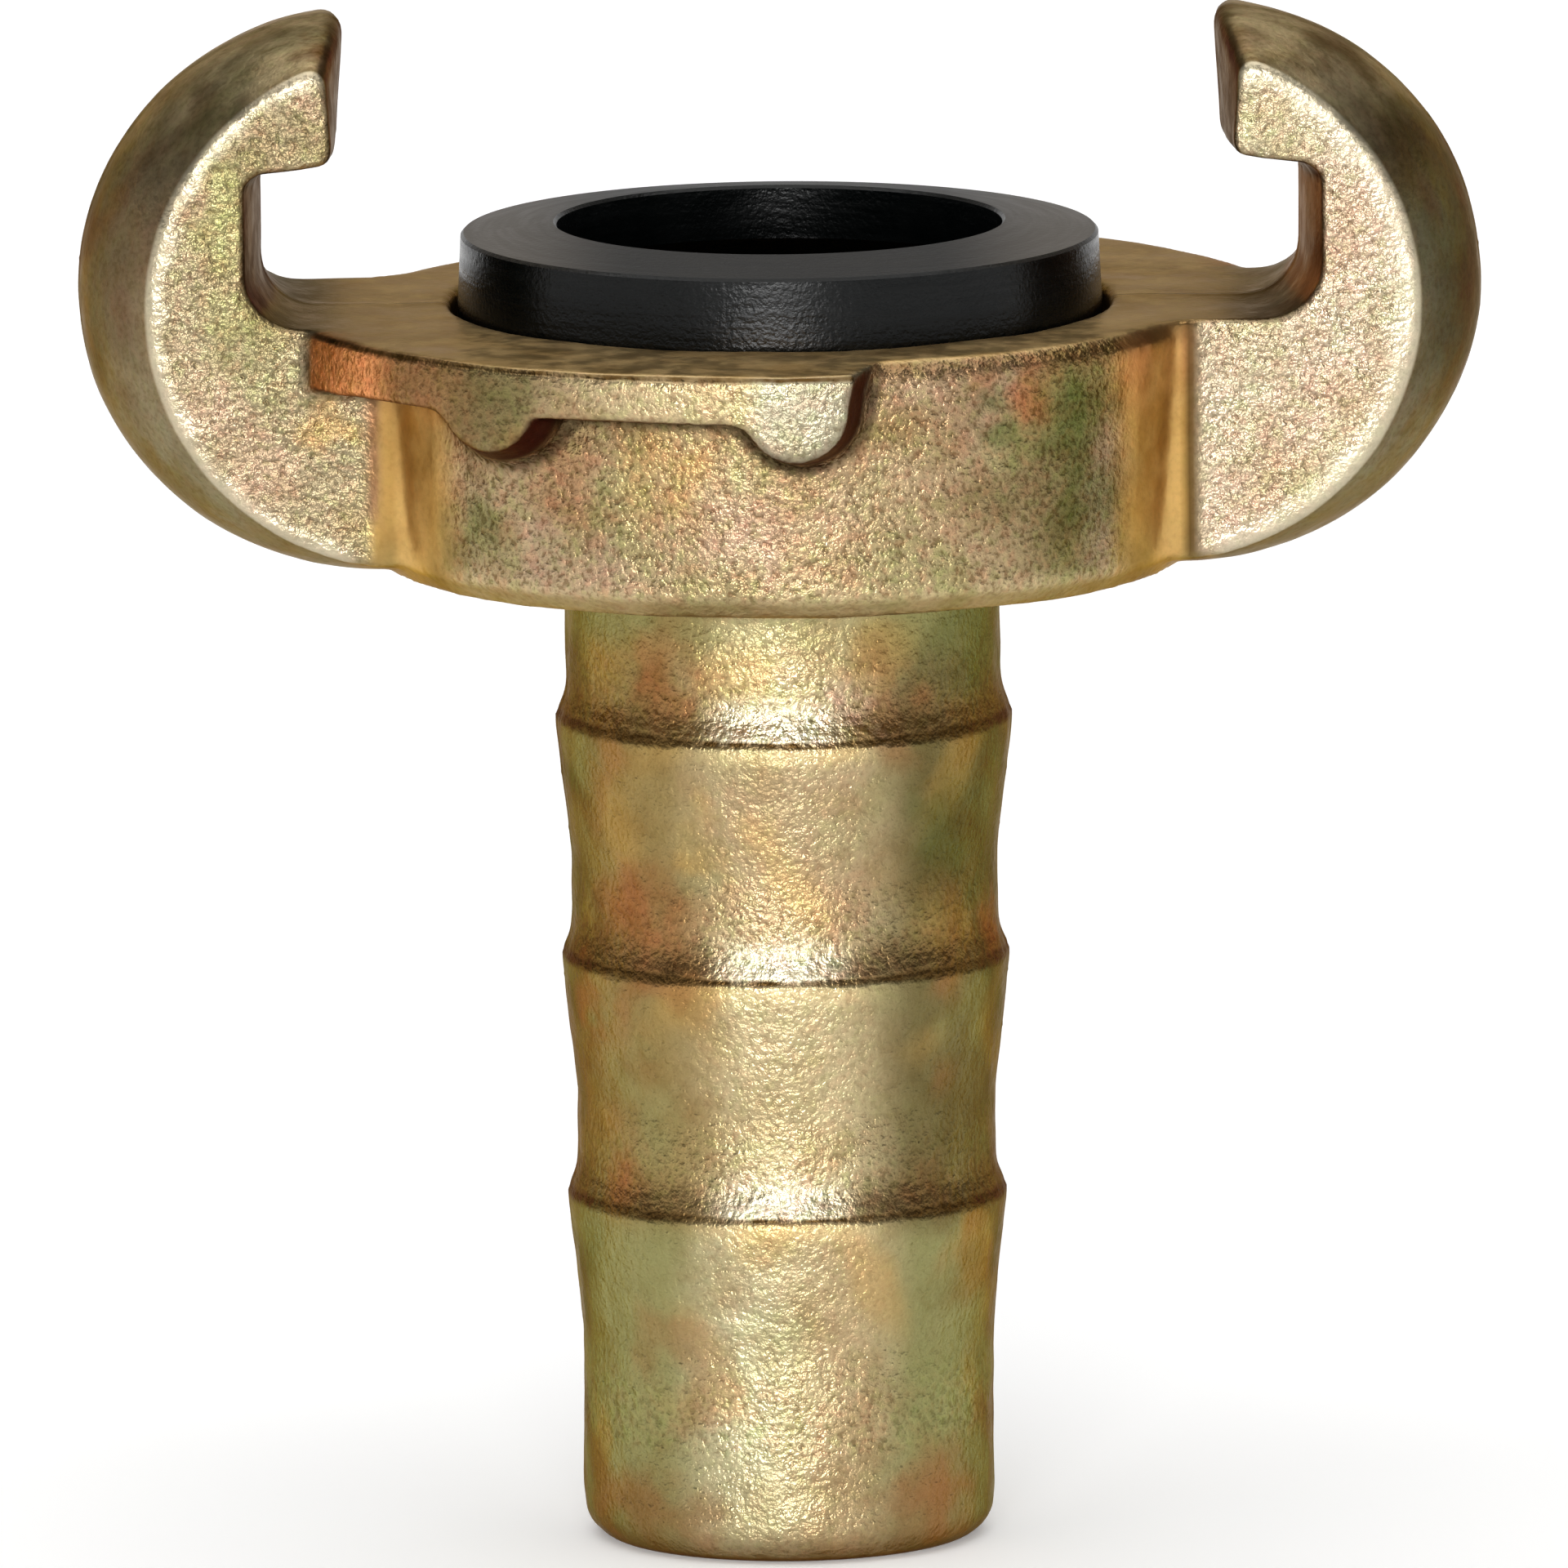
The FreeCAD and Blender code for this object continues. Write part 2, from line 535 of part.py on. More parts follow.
def seal_ring():
    """The rubber ring: a neck that seals on its top, an inner lip and a foot in the groove."""
    body = doc.addObject("PartDesign::Body", "seal_ring")
    body.Label = "seal_ring"
    top = FACE + " + sizes.ring_stand"
    crown = top + " + sizes.ring_crown"
    foot_top = GROOVE_FLOOR + " + sizes.ring_foot_height"
    lip_end = crown + " - sizes.ring_lip_height"
    corners = [
        (RING_INNER, GROOVE_FLOOR),
        (RING_FOOT + " - sizes.ring_foot_edge", GROOVE_FLOOR),
        (RING_FOOT, GROOVE_FLOOR + " + sizes.ring_foot_edge"),
        (RING_FOOT, foot_top),
        (RING_NECK, foot_top),
        (RING_NECK, FACE),
        (RING_TOP, top + " - sizes.ring_top_edge"),
        (RING_TOP + " - sizes.ring_top_edge", top),
        (RING_BORE + " + sizes.ring_top_edge", crown),
        (RING_BORE, crown + " - sizes.ring_top_edge"),
        (RING_BORE, lip_end),
        (RING_INNER, lip_end + " - sizes.ring_lip_slope"),
    ]
    sketch = start_sketch(body, "RingSection", "XZ_Plane")
    draw(sketch, corners)
    spin(body, "Revolution", "Ring", sketch)
    return body


def check_and_export(bodies):
    """Stops if anything failed, and otherwise writes one file for each piece."""
    doc.recompute()
    for item in doc.Objects:
        if "Invalid" in item.State or "Error" in item.State:
            raise RuntimeError("%s did not build: %s" % (item.Name, item.State))
    os.makedirs("parts", exist_ok=True)
    for body in bodies:
        shape = body.Shape
        if shape.isNull() or not shape.isValid() or len(shape.Solids) != 1:
            raise RuntimeError("%s is not one valid solid" % body.Label)
        shape.exportStep("parts/%s.step" % body.Label)
        print("%s: %.1f cubic mm" % (body.Label, shape.Volume))


check_and_export([coupling_body(), seal_ring()])
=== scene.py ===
import math

import bpy
import numpy as np
from mathutils import Matrix, Vector, noise


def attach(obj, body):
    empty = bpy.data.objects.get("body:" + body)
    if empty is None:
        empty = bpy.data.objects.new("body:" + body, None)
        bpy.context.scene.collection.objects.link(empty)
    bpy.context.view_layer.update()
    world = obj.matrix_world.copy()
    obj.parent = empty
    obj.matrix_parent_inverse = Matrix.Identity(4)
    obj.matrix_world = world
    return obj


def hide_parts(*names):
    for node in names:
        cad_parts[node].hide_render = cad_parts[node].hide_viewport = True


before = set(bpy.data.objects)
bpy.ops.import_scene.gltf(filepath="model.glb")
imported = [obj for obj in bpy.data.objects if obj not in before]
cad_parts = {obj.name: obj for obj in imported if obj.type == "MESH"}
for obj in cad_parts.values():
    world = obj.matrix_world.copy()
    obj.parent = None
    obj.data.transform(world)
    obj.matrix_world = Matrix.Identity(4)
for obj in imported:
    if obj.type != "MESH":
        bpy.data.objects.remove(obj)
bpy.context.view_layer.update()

MM = 0.001

# The camera, from the photograph: distances in millimetres, angles in degrees.
CAMERA_DISTANCE = 2500.0
CAMERA_ELEVATION = 9.5
CAMERA_AZIMUTH = -1.1
CAMERA_ROLL = 0.48
AIM_HEIGHT = 36.79
SENSOR = 36.0
PIXELS_PER_MM = 25.25
FRAME_PIXELS = 1920
LENS = SENSOR * CAMERA_DISTANCE * PIXELS_PER_MM / FRAME_PIXELS

# Levels and radii of the casting, in millimetres, as the solids have them.
HEAD_BOTTOM = 48.0
HEAD_FACE = 60.7
LEDGE_RADIUS = 24.5
CLAW_HALF_DEPTH = 8.25
# The back of a claw's face is an arc about this place, seen from the front.
BACK_ACROSS, BACK_UP, BACK_RADIUS = 18.0, 61.5, 12.7
# A crease runs round the tail on each barb, just under its crest.
FIRST_CREASE = 17.08
BARB_PITCH = 11.7
# The stretch of the tail that has the barbs, and the top of its last barb.
BARBS_BOTTOM, BARBS_TOP = 12.0, 44.0
LAST_CREST = 41.5

# Where the kinds of surface of the casting meet, in millimetres from the middle or up from the
# foot. A pair gives where a soft change starts and where it ends.
BORE_REACH, BORE_TOP = 9.2, 50.0
CHAMBER_REACH, CHAMBER_BOTTOM, CHAMBER_TOP = 17.3, 49.0, 60.2
HEAD_STARTS = (HEAD_BOTTOM - 1.5, HEAD_BOTTOM + 0.3)
TAIL_ENDS = (HEAD_BOTTOM - 0.6, HEAD_BOTTOM + 0.2)
CLAW_STARTS = (19.8, 20.4)
CLAW_REACH = CLAW_HALF_DEPTH + 0.4
BAND_STARTS = (20.3, 22.0)
TOP_STARTS, TOP_END = (59.8, 60.4), 64.0
TOP_FADES = (20.0, 25.0)
THROAT_ACROSS, THROAT_REACH = 25.2, 1.3
THROAT_BOTTOM, THROAT_TOP = 58.0, 70.5
TIP_ACROSS, TIP_BOTTOM = 23.0, 67.0
LEDGE_STARTS, LEDGE_BOTTOM = (21.2, 21.8), (51.0, 52.0)
LEDGE_LEFT, LEDGE_RIGHT = -23.0, 7.0
ROOT_STARTS = (15.2, 17.2)
LOWER_TOP = 52.0
# How squarely a surface faces a way, from 0 when it lies along it to 1 when it faces it.
FRONT_ON = (0.70, 0.90)
PARTLY_FRONT_ON = (0.50, 0.80)
LIES_FLAT = (0.75, 0.95)
FACES_DOWN = (0.25, 0.70)
FACES_MIDDLE = (0.50, 0.80)
FACES_OUT = (0.60, 0.90)
# What faces up more than this is no part of a throat's wall or of a ledge's flank.
THROAT_UPWARD, FLANK_UPWARD = 0.7, 0.5

# The cast skin: size of its quads, number of its triangles, and rounds of smoothing.
SKIN_VOXEL = 0.30
SKIN_TRIANGLES = 194000
SKIN_SMOOTHING = 4
# Rounds of blur that soften the borders of the regions.
MASK_ROUNDS = 2
# The step above each crease of the tail is rounded off: its middle, its reach and how much.
SHOULDER_RISE, SHOULDER_REACH = 0.9, (1.2, 2.0)
SHOULDER_ROUNDS = 12
# Waves, lumps and seam: their lengths, heights and where they fade, in millimetres.
WAVE_LENGTH = 5.0
WAVE_HEIGHT = 0.05
LUMP_LENGTH = 1.5
LUMP_HEIGHT = 0.035
SEAM_HEIGHT = 0.07
SEAM_SIDES = (0.05, 0.35)
SEAM_FOOT = (1.5, 2.5)
FLAT_FOOT = (0.0, 0.4)


def linear(red, green, blue):
    """A colour given as it shows on screen, from 0 to 255, as the linear RGBA that shaders take."""
    shares = [c / 255 for c in (red, green, blue)]
    return [c / 12.92 if c <= 0.04045 else ((c + 0.055) / 1.055) ** 2.4 for c in shares] + [1.0]


def smoothstep(value, low, high):
    share = np.clip((value - low) / (high - low), 0, 1)
    return share * share * (3 - 2 * share)


# Tones of the plating, as they show on screen under a plain white light.
GOLD = linear(170, 147, 112)
PALE = linear(192, 174, 134)
SILVER = linear(196, 187, 148)
GREY = linear(160, 152, 128)
PEACH = linear(186, 164, 124)
PINK = linear(180, 150, 128)
GREEN = linear(146, 144, 92)
LEAF = linear(150, 147, 97)
OLIVE = linear(117, 106, 68)
MOSS = linear(84, 92, 48)
AMBER = linear(200, 156, 84)
HONEY = linear(228, 184, 112)
ORANGE = linear(230, 156, 102)
BRONZE = linear(149, 128, 80)
RUST = linear(158, 99, 60)
TAN = linear(196, 168, 120)
BROWN = linear(118, 88, 54)
EARTH = linear(106, 82, 66)
DUST = linear(100, 98, 76)
UMBER = linear(84, 62, 32)
MAROON = linear(66, 38, 32)
DEEP = linear(44, 32, 20)
CREAM = linear(222, 212, 184)
LEFT_FACE = linear(148, 134, 105)
RIGHT_FACE = linear(180, 164, 139)
# The bands' tones below are painted shade, less of it at the top, and a painted highlight at the foot.
LEFT_BAND = linear(136, 122, 96)
RIGHT_BAND = linear(82, 80, 66)
BAND_TOP = linear(188, 170, 132)
BAND_FOOT = linear(144, 138, 114)
# What the plating's glare turns to where it is seen at a slant.
GRAZING_TONE = linear(184, 158, 122)

# The rubber: black and its clouds, its upper side with its rings in a brown painted sheen, and the
# lighter painted sheen to the left and right of that side.
RUBBER, RUBBER_CLOUD = linear(2, 4, 4), linear(6, 8, 8)
RUBBER_TOP, RUBBER_TOP_RINGS = linear(26, 24, 20), linear(34, 32, 28)
RUBBER_SHEEN = linear(84, 78, 70)
RUBBER_SHEEN_FROM = (7.0, 14.0)
# Sizes of the rubber's clouds, rings and grain, in millimetres.
RUBBER_CLOUDS, RUBBER_RINGS, RUBBER_GRAIN = 3.0, 0.5, 0.25
# How rough the rubber is, how much rougher on its upper side, and its grain's depth in metres.
RUBBER_ROUGHNESS, RUBBER_TOP_ROUGHER = (0.21, 0.29), 0.22
RUBBER_DEPTH = 0.00004

# Stains of the plating film that stand out on each kind of surface of the front: centre and
# size in millimetres, tone and strength. The back has them too, turned half round.
STAINS = {
    "face": [
        ((-22.6, -8.2, 70.8), 2.6, OLIVE, 0.6),
        ((-25.8, -8.2, 68.6), 1.8, OLIVE, 0.5),
        ((-26.2, -8.2, 66.0), 3.0, GREEN, 0.7),
        ((-26.0, -8.2, 61.5), 2.4, GREEN, 0.5),
        ((-23.0, -8.2, 71.6), 2.0, PINK, 0.5),
        ((-28.2, -8.2, 56.6), 3.6, PINK, 0.5),
        ((-21.8, -8.2, 56.4), 1.8, AMBER, 0.4),
        ((-25.2, -8.2, 53.2), 3.0, PINK, 0.4),
        ((27.6, -8.2, 57.6), 3.6, PINK, 0.4),
        ((23.2, -8.2, 60.0), 2.2, GREEN, 0.3),
        ((24.6, -8.2, 52.6), 2.8, GREEN, 0.3),
    ],
    "band": [
        ((-30.4, -6.0, 63.0), 6.0, EARTH, 0.4),
        ((-27.4, -6.0, 70.4), 4.0, OLIVE, 0.6),
        ((-22.6, -6.0, 73.6), 2.6, EARTH, 0.8),
        ((24.6, -6.0, 73.0), 2.4, BROWN, 0.3),
        ((29.4, -6.0, 68.0), 4.0, OLIVE, 0.4),
    ],
    "wall": [
        ((-19.0, -14.0, 57.8), 2.0, RUST, 0.5),
        ((-15.9, -14.4, 51.4), 3.0, MOSS, 0.5),
        ((-15.4, -14.2, 55.0), 2.4, BROWN, 0.45),
        ((-10.5, -18.0, 55.0), 3.6, RUST, 0.4),
        ((-6.0, -19.0, 55.6), 3.0, AMBER, 0.4),
        ((-9.0, -18.0, 50.6), 3.0, PINK, 0.5),
        ((-2.0, -19.5, 52.4), 3.4, PINK, 0.45),
        ((4.6, -19.0, 50.6), 3.0, LEAF, 0.4),
        ((12.2, -17.0, 58.8), 2.2, RUST, 0.7),
        ((9.3, -18.6, 59.0), 1.4, RUST, 0.5),
        ((10.2, -18.0, 57.2), 1.8, MOSS, 0.7),
        ((14.4, -15.6, 57.0), 3.6, MOSS, 0.75),
        ((14.8, -14.6, 52.6), 3.6, MOSS, 0.6),
        ((10.0, -17.6, 53.6), 3.0, OLIVE, 0.6),
    ],
    "ledge": [
        ((-14.2, -20.0, 59.4), 2.0, OLIVE, 0.8),
        ((-12.6, -20.6, 57.0), 2.0, BRONZE, 0.6),
        ((-2.4, -24.0, 58.4), 1.6, LEAF, 0.5),
    ],
    "tail": [
        ((-6.1, -8.5, 42.9), 2.6, RUST, 0.6),
        ((3.2, -9.6, 42.4), 1.8, PINK, 0.6),
        ((8.6, -5.4, 45.0), 4.0, MOSS, 0.5),
        ((-9.4, -4.0, 38.4), 2.6, LEAF, 0.6),
        ((-7.2, -7.4, 31.6), 3.8, RUST, 0.7),
        ((-8.8, -5.0, 30.6), 2.0, BROWN, 0.7),
        ((-4.2, -9.3, 35.2), 2.4, AMBER, 0.4),
        ((8.0, -6.0, 35.4), 5.0, MOSS, 0.65),
        ((9.6, -3.0, 30.6), 2.4, RUST, 0.6),
        ((-9.2, -4.4, 27.4), 2.2, RUST, 0.6),
        ((-8.2, -6.0, 24.0), 3.0, GREEN, 0.5),
        ((-5.4, -9.0, 20.2), 3.0, BRONZE, 0.6),
        ((-8.0, -6.0, 18.6), 2.6, RUST, 0.6),
        ((8.4, -6.0, 26.6), 2.8, GREEN, 0.5),
        ((8.0, -6.4, 22.0), 3.8, OLIVE, 0.6),
        ((6.6, -7.6, 18.4), 2.4, BROWN, 0.5),
        ((8.6, -5.2, 14.6), 3.0, AMBER, 0.45),
        ((8.6, -5.2, 13.6), 3.0, BROWN, 0.35),
        ((-7.8, -6.4, 11.0), 3.4, LEAF, 0.5),
        ((7.2, -7.0, 8.6), 3.6, GREEN, 0.6),
        ((-7.2, -7.0, 3.0), 3.6, RUST, 0.5),
        ((-9.2, -4.4, 2.8), 3.0, RUST, 0.5),
        ((-4.6, -8.8, 2.0), 2.2, RUST, 0.35),
        ((7.2, -7.0, 2.8), 3.8, RUST, 0.55),
    ],
}
# Each coloured fleck multiplies the tone under it.
PINKER = (1.09, 0.94, 0.96, 1.0)
GREENER = (0.91, 1.02, 0.88, 1.0)
LIGHTER = (1.35, 1.34, 1.30, 1.0)
DARKER = (0.46, 0.40, 0.32, 1.0)
DULLER = (0.80, 0.74, 0.66, 1.0)
# Half the width of the change from the front's colours to the back's, in millimetres.
STAIN_EDGE = 2.5
# A stain is even up to this share of its size, and fades from there.
STAIN_CORE = 0.2
# Wave lengths of the plating's drifting tones, and how far two waves bend a stain's outline.
DRIFT_LENGTH, WARM_LENGTH, FINE_LENGTH = 7.0, 4.0, 2.4
SWAY_LENGTH, SWAY = 2.2, 1.1
RIPPLE_LENGTH, RIPPLE = 0.9, 0.4

# The grain of the cast skin in its material: sizes in millimetres, and its depth in metres.
SAND_SIZE = 0.30
LUMP_SIZE = 0.85
HUE_SIZE = 0.70
DULL_SIZE = 3.2
UNEVEN_SIZE, SHEEN_SIZE = 1.2, 1.5
WOBBLE_SIZE, WOBBLE = 1.6, 0.25
GRAIN_DEPTH = 0.00014
GRAIN_LEVELS = (0.04, 1.0)
PLATING_METALLIC = 0.92
PLATING_ROUGHNESS = (0.28, 0.42)
# Dark lines of the casting, in millimetres: painted shade in the creases, which widen from the middle to
# the sides, and along the ledges' upper edges; the seam's line is its own darker colour.
CREASE_WIDENS, CREASE_WIDTHS = (2.0, 9.0), (0.24, 0.52)
LEDGE_LINE_OUT = (LEDGE_RADIUS - 0.42, LEDGE_RADIUS - 0.24)
LEDGE_LINE_UP = (HEAD_FACE - 0.42, HEAD_FACE - 0.28)
LEDGE_LINE_DEPTH = (8.4, 8.9)
SEAM_LINE, SEAM_DARKNESS = (0.05, 0.16), 0.6
# The painted highlight along the rim of a claw's face: its width on the left, and how much wider it is
# on the right.
RIM_WIDTH, RIM_WIDER = 0.8, 0.4
# x times y is above 0 on the left claw and below 0 on the right one, seen from either side.
RIM_SIDES = (60.0, -60.0)
RIM_STARTS = (20.4, 21.4)
RIM_WOBBLE = 6.0


# Mesh work

def link(name, mesh):
    piece = bpy.data.objects.new(name, mesh)
    bpy.context.scene.collection.objects.link(piece)
    return piece


def applied(work):
    """The mesh of an object with its modifiers applied. The object goes."""
    depsgraph = bpy.context.evaluated_depsgraph_get()
    mesh = bpy.data.meshes.new_from_object(work.evaluated_get(depsgraph))
    bpy.data.objects.remove(work)
    return mesh


def even_skin(node):
    """One even skin of small quads over a solid, in millimetres."""
    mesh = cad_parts[node].data.copy()
    mesh.transform(Matrix.Scale(1 / MM, 4))
    mesh.materials.clear()
    work = link("work", mesh)
    remesh = work.modifiers.new("skin", "REMESH")
    remesh.mode = "VOXEL"
    remesh.voxel_size = SKIN_VOXEL
    return applied(work)


def thinned(mesh):
    """The same skin with fewer triangles, coarser where it is flat or evenly round."""
    triangles = 2 * len(mesh.polygons)
    work = link("work", mesh)
    decimate = work.modifiers.new("thin", "DECIMATE")
    decimate.ratio = min(1.0, SKIN_TRIANGLES / triangles)
    return applied(work)


def vectors(mesh, what):
    """Places or normals of all the vertices, as an array of three columns."""
    found = np.empty(len(mesh.vertices) * 3)
    if what == "co":
        mesh.vertices.foreach_get("co", found)
    else:
        mesh.vertex_normals.foreach_get("vector", found)
    return found.reshape(-1, 3)


def set_places(mesh, places):
    mesh.vertices.foreach_set("co", places.ravel())
    mesh.update()


class Neighbours:
    """The edges of a mesh, to take means over the vertices next to each vertex."""

    def __init__(self, mesh):
        ends = np.empty(len(mesh.edges) * 2, int)
        mesh.edges.foreach_get("vertices", ends)
        self.ends = ends.reshape(-1, 2)
        self.counts = np.bincount(ends, minlength=len(mesh.vertices))

    def sum_over_edges(self, values):
        """For each vertex, the sum of the values of its edges."""
        total = np.bincount(self.ends[:, 0], values, len(self.counts))
        return total + np.bincount(self.ends[:, 1], values, len(self.counts))

    def mean(self, values):
        """For each vertex, the mean of the values at the vertices next to it."""
        if values.ndim == 2:
            return np.stack([self.mean(column) for column in values.T], 1)
        first, second = self.ends.T
        total = np.bincount(first, values[second], len(self.counts))
        total += np.bincount(second, values[first], len(self.counts))
        return total / self.counts

    def blurred(self, values, rounds):
        for _ in range(rounds):
            values = (values + self.mean(values)) / 2
        return values

    def smoothed(self, places, rounds):
        """Smoothing that keeps the size: each round shrinks a little and then grows back."""
        for step in [0.5, -0.53] * rounds:
            places = places + step * (self.mean(places) - places)
        return places

    def bends(self, places, normals):
        """Above 0.5 on edges that stand out and below it in corners, from how the skin bends."""
        normals = self.blurred(normals, 3)
        normals = normals / np.linalg.norm(normals, axis=1)[:, None]
        first, second = self.ends.T
        run = places[second] - places[first]
        turn = normals[second] - normals[first]
        bend = np.sum(run * turn, 1) / np.maximum(np.sum(run * run, 1), 1e-6)
        curve = self.blurred(self.sum_over_edges(bend) / self.counts, 2)
        return np.clip(0.5 + 0.5 * curve, 0, 1)


def waves(places, length, seed):
    """Smooth noise between about -1 and 1, with the given wave length."""
    shift = Vector((seed * 17.3, seed * 5.1, seed * 9.7))
    return np.array([noise.noise(Vector(p) / length + shift) for p in places]) * 1.6


def regions(places, normals):
    """How far each vertex belongs to each kind of surface of the casting, from 0 to 1."""
    x, y, z = places.T
    radius, side = np.hypot(x, y), np.abs(x)
    facing, upward = np.abs(normals[:, 1]), normals[:, 2]
    inward = -normals[:, 0] * np.sign(x)
    outward = (normals[:, 0] * x + normals[:, 1] * y) / np.maximum(radius, 1.0)
    front_x = np.where(y < 0, x, -x)
    bore = (radius < BORE_REACH) & (z < BORE_TOP)
    chamber = (radius < CHAMBER_REACH) & (z > CHAMBER_BOTTOM) & (z < CHAMBER_TOP)
    inside = (bore | chamber).astype(float)
    outer = 1 - inside
    head = smoothstep(z, *HEAD_STARTS) * outer
    claw = smoothstep(side, *CLAW_STARTS) * head * (np.abs(y) < CLAW_REACH)
    face = claw * smoothstep(facing, *FRONT_ON)
    top = smoothstep(upward, *LIES_FLAT) * smoothstep(z, *TOP_STARTS) * (z < TOP_END) * outer
    top = top * (1 - smoothstep(side, *TOP_FADES))
    band = claw * (1 - smoothstep(facing, *PARTLY_FRONT_ON)) * smoothstep(side, *BAND_STARTS) * (1 - top)
    throat = band * (np.abs(side - THROAT_ACROSS) < THROAT_REACH)
    throat = throat * (z > THROAT_BOTTOM) * (z < THROAT_TOP) * (upward < THROAT_UPWARD)
    tip = claw * (side < TIP_ACROSS) * (z > TIP_BOTTOM) * smoothstep(inward, *FACES_MIDDLE)
    ledge = smoothstep(radius, *LEDGE_STARTS) * smoothstep(z, *LEDGE_BOTTOM)
    ledge = ledge * (front_x > LEDGE_LEFT) * (front_x < LEDGE_RIGHT)
    ledge = ledge * (1 - claw) * (1 - top) * head
    flank = ledge * (1 - smoothstep(outward, *FACES_OUT)) * (upward < FLANK_UPWARD)
    root = smoothstep(side, *ROOT_STARTS) * head * (1 - claw) * (1 - top) * (1 - ledge)
    lower = head * smoothstep(-upward, *FACES_DOWN) * (1 - band) * (z < LOWER_TOP)
    wall = head * (1 - claw) * (1 - top) * (1 - ledge)
    tail = (1 - smoothstep(z, *TAIL_ENDS)) * outer
    return {
        "face": face,
        "band": band,
        "top": top,
        "throat": throat,
        "tip": tip,
        "ledge": ledge,
        "flank": flank,
        "root": root,
        "lower": lower,
        "wall": wall,
        "tail": tail,
        "inside": inside,
    }


def levels(masks, elsewhere, **known):
    """A value that each region has for itself, where the later ones lie over the earlier ones."""
    values = np.full(len(masks["face"]), elsewhere)
    for name, level in known.items():
        values = values + (level - values) * masks[name]
    return values


def rise_over_crease(z):
    """How far a place lies above the next crease of the tail below it."""
    return np.mod(z - FIRST_CREASE, BARB_PITCH)


def on_barbs(z):
    """Whether a place lies on the stretch of the tail that has the barbs."""
    return (z > BARBS_BOTTOM) * (z < BARBS_TOP)


def soft_shoulders(places, near):
    """The same places, with the step above each crease of the tail rounded off."""
    x, y, z = places.T
    step = 1 - smoothstep(np.abs(rise_over_crease(z) - SHOULDER_RISE), *SHOULDER_REACH)
    step = step * (np.hypot(x, y) > BORE_REACH) * on_barbs(z)
    return places + (near.blurred(places, SHOULDER_ROUNDS) - places) * step[:, None]


def grain_of(masks):
    """How coarse the sand grain stands, from 0 to 1."""
    return levels(masks, 0.5, tail=0.7, wall=0.85, ledge=0.6, face=0.9, root=0.12, flank=0.2,
                  lower=0.3, band=0.18, top=0.12, inside=0.2)


def mottle_of(places, masks):
    """How much the grains differ in colour, from 0 to 1. The tail has most of it above its creases."""
    middle = 1 - smoothstep(np.abs(places[:, 0]), 2.5, 6.0)
    speckle = 1 - smoothstep(rise_over_crease(places[:, 2]), 1.5, 5.5)
    tail = masks["tail"] * (0.3 * middle + 0.45 * speckle)
    return tail + levels(masks, 0.4, tail=0.10, wall=0.9, ledge=0.7, face=0.8, root=0.15,
                         flank=0.1, lower=0.3, band=0.35, top=0.15, inside=0.2)


def cast_relief(places, masks):
    """How far each vertex stands off the smooth skin: broad waves, sand lumps and the mould's seam."""
    y, z = places[:, 1], places[:, 2]
    outer = 1 - masks["inside"]
    lift = WAVE_HEIGHT * waves(places, WAVE_LENGTH, seed=1) * outer
    lift += LUMP_HEIGHT * grain_of(masks) * waves(places, LUMP_LENGTH, seed=2) * outer
    seam = 1 - smoothstep(np.abs(y), *SEAM_SIDES)
    seam *= outer * (1 - 0.6 * masks["top"]) * smoothstep(z, *SEAM_FOOT)
    lift += SEAM_HEIGHT * seam - WAVE_HEIGHT - LUMP_HEIGHT
    return lift * smoothstep(z, *FLAT_FOOT)


# The slow drift of colour over the plating

class Plating:
    """The tone of the plating at each vertex, as linear RGBA, laid on in washes.

    Places are in millimetres. Shares of a tone, and where it lies, go from 0 to 1.
    """

    def __init__(self, places, masks):
        self.x, self.y, self.z = places.T
        self.masks = masks
        self.colour = np.tile(np.array(GOLD), (len(places), 1))
        self.rear = smoothstep(self.y, -STAIN_EDGE, STAIN_EDGE)
        self.drift = waves(places, DRIFT_LENGTH, seed=3)
        self.fine = waves(places, FINE_LENGTH, seed=4)
        self.warm = waves(places, WARM_LENGTH, seed=5)
        sway = np.stack([waves(places, SWAY_LENGTH, seed) for seed in (7, 8, 9)], 1)
        ripple = np.stack([waves(places, RIPPLE_LENGTH, seed) for seed in (10, 11, 12)], 1)
        self.warped = places + SWAY * sway + RIPPLE * ripple

    def across(self, low, high):
        """From 0 on the left to 1 on the right, seen from the side on which each vertex lies."""
        front, back = smoothstep(self.x, low, high), smoothstep(-self.x, low, high)
        return front + (back - front) * self.rear

    def above(self, low, high):
        """From 0 under the first height to 1 over the second."""
        return smoothstep(self.z, low, high)

    def below(self, low, high):
        return 1 - smoothstep(self.z, low, high)

    def outside(self, low, high):
        """From 0 near the middle to 1 at the two sides."""
        return smoothstep(np.abs(self.x), low, high)

    def wash(self, tone, where, strength=1.0):
        share = np.clip(where * strength, 0, 1)[:, None]
        self.colour = self.colour + (np.array(tone) - self.colour) * share

    def tinge(self, factor, where, strength=1.0):
        """Multiplies the tone, as a thin clear colour over it does."""
        share = np.clip(where * strength, 0, 1)[:, None]
        self.colour = self.colour * (1 + (np.array(factor) - 1) * share)

    def stain(self, region, centre, size, tone, strength):
        turned = np.array(centre) * (-1, -1, 1)
        away = np.linalg.norm(self.warped - np.array(centre), axis=1)
        away = np.minimum(away, np.linalg.norm(self.warped - turned, axis=1))
        spot = 1 - smoothstep(away, STAIN_CORE * size, size)
        self.wash(tone, spot * strength * self.masks[region])


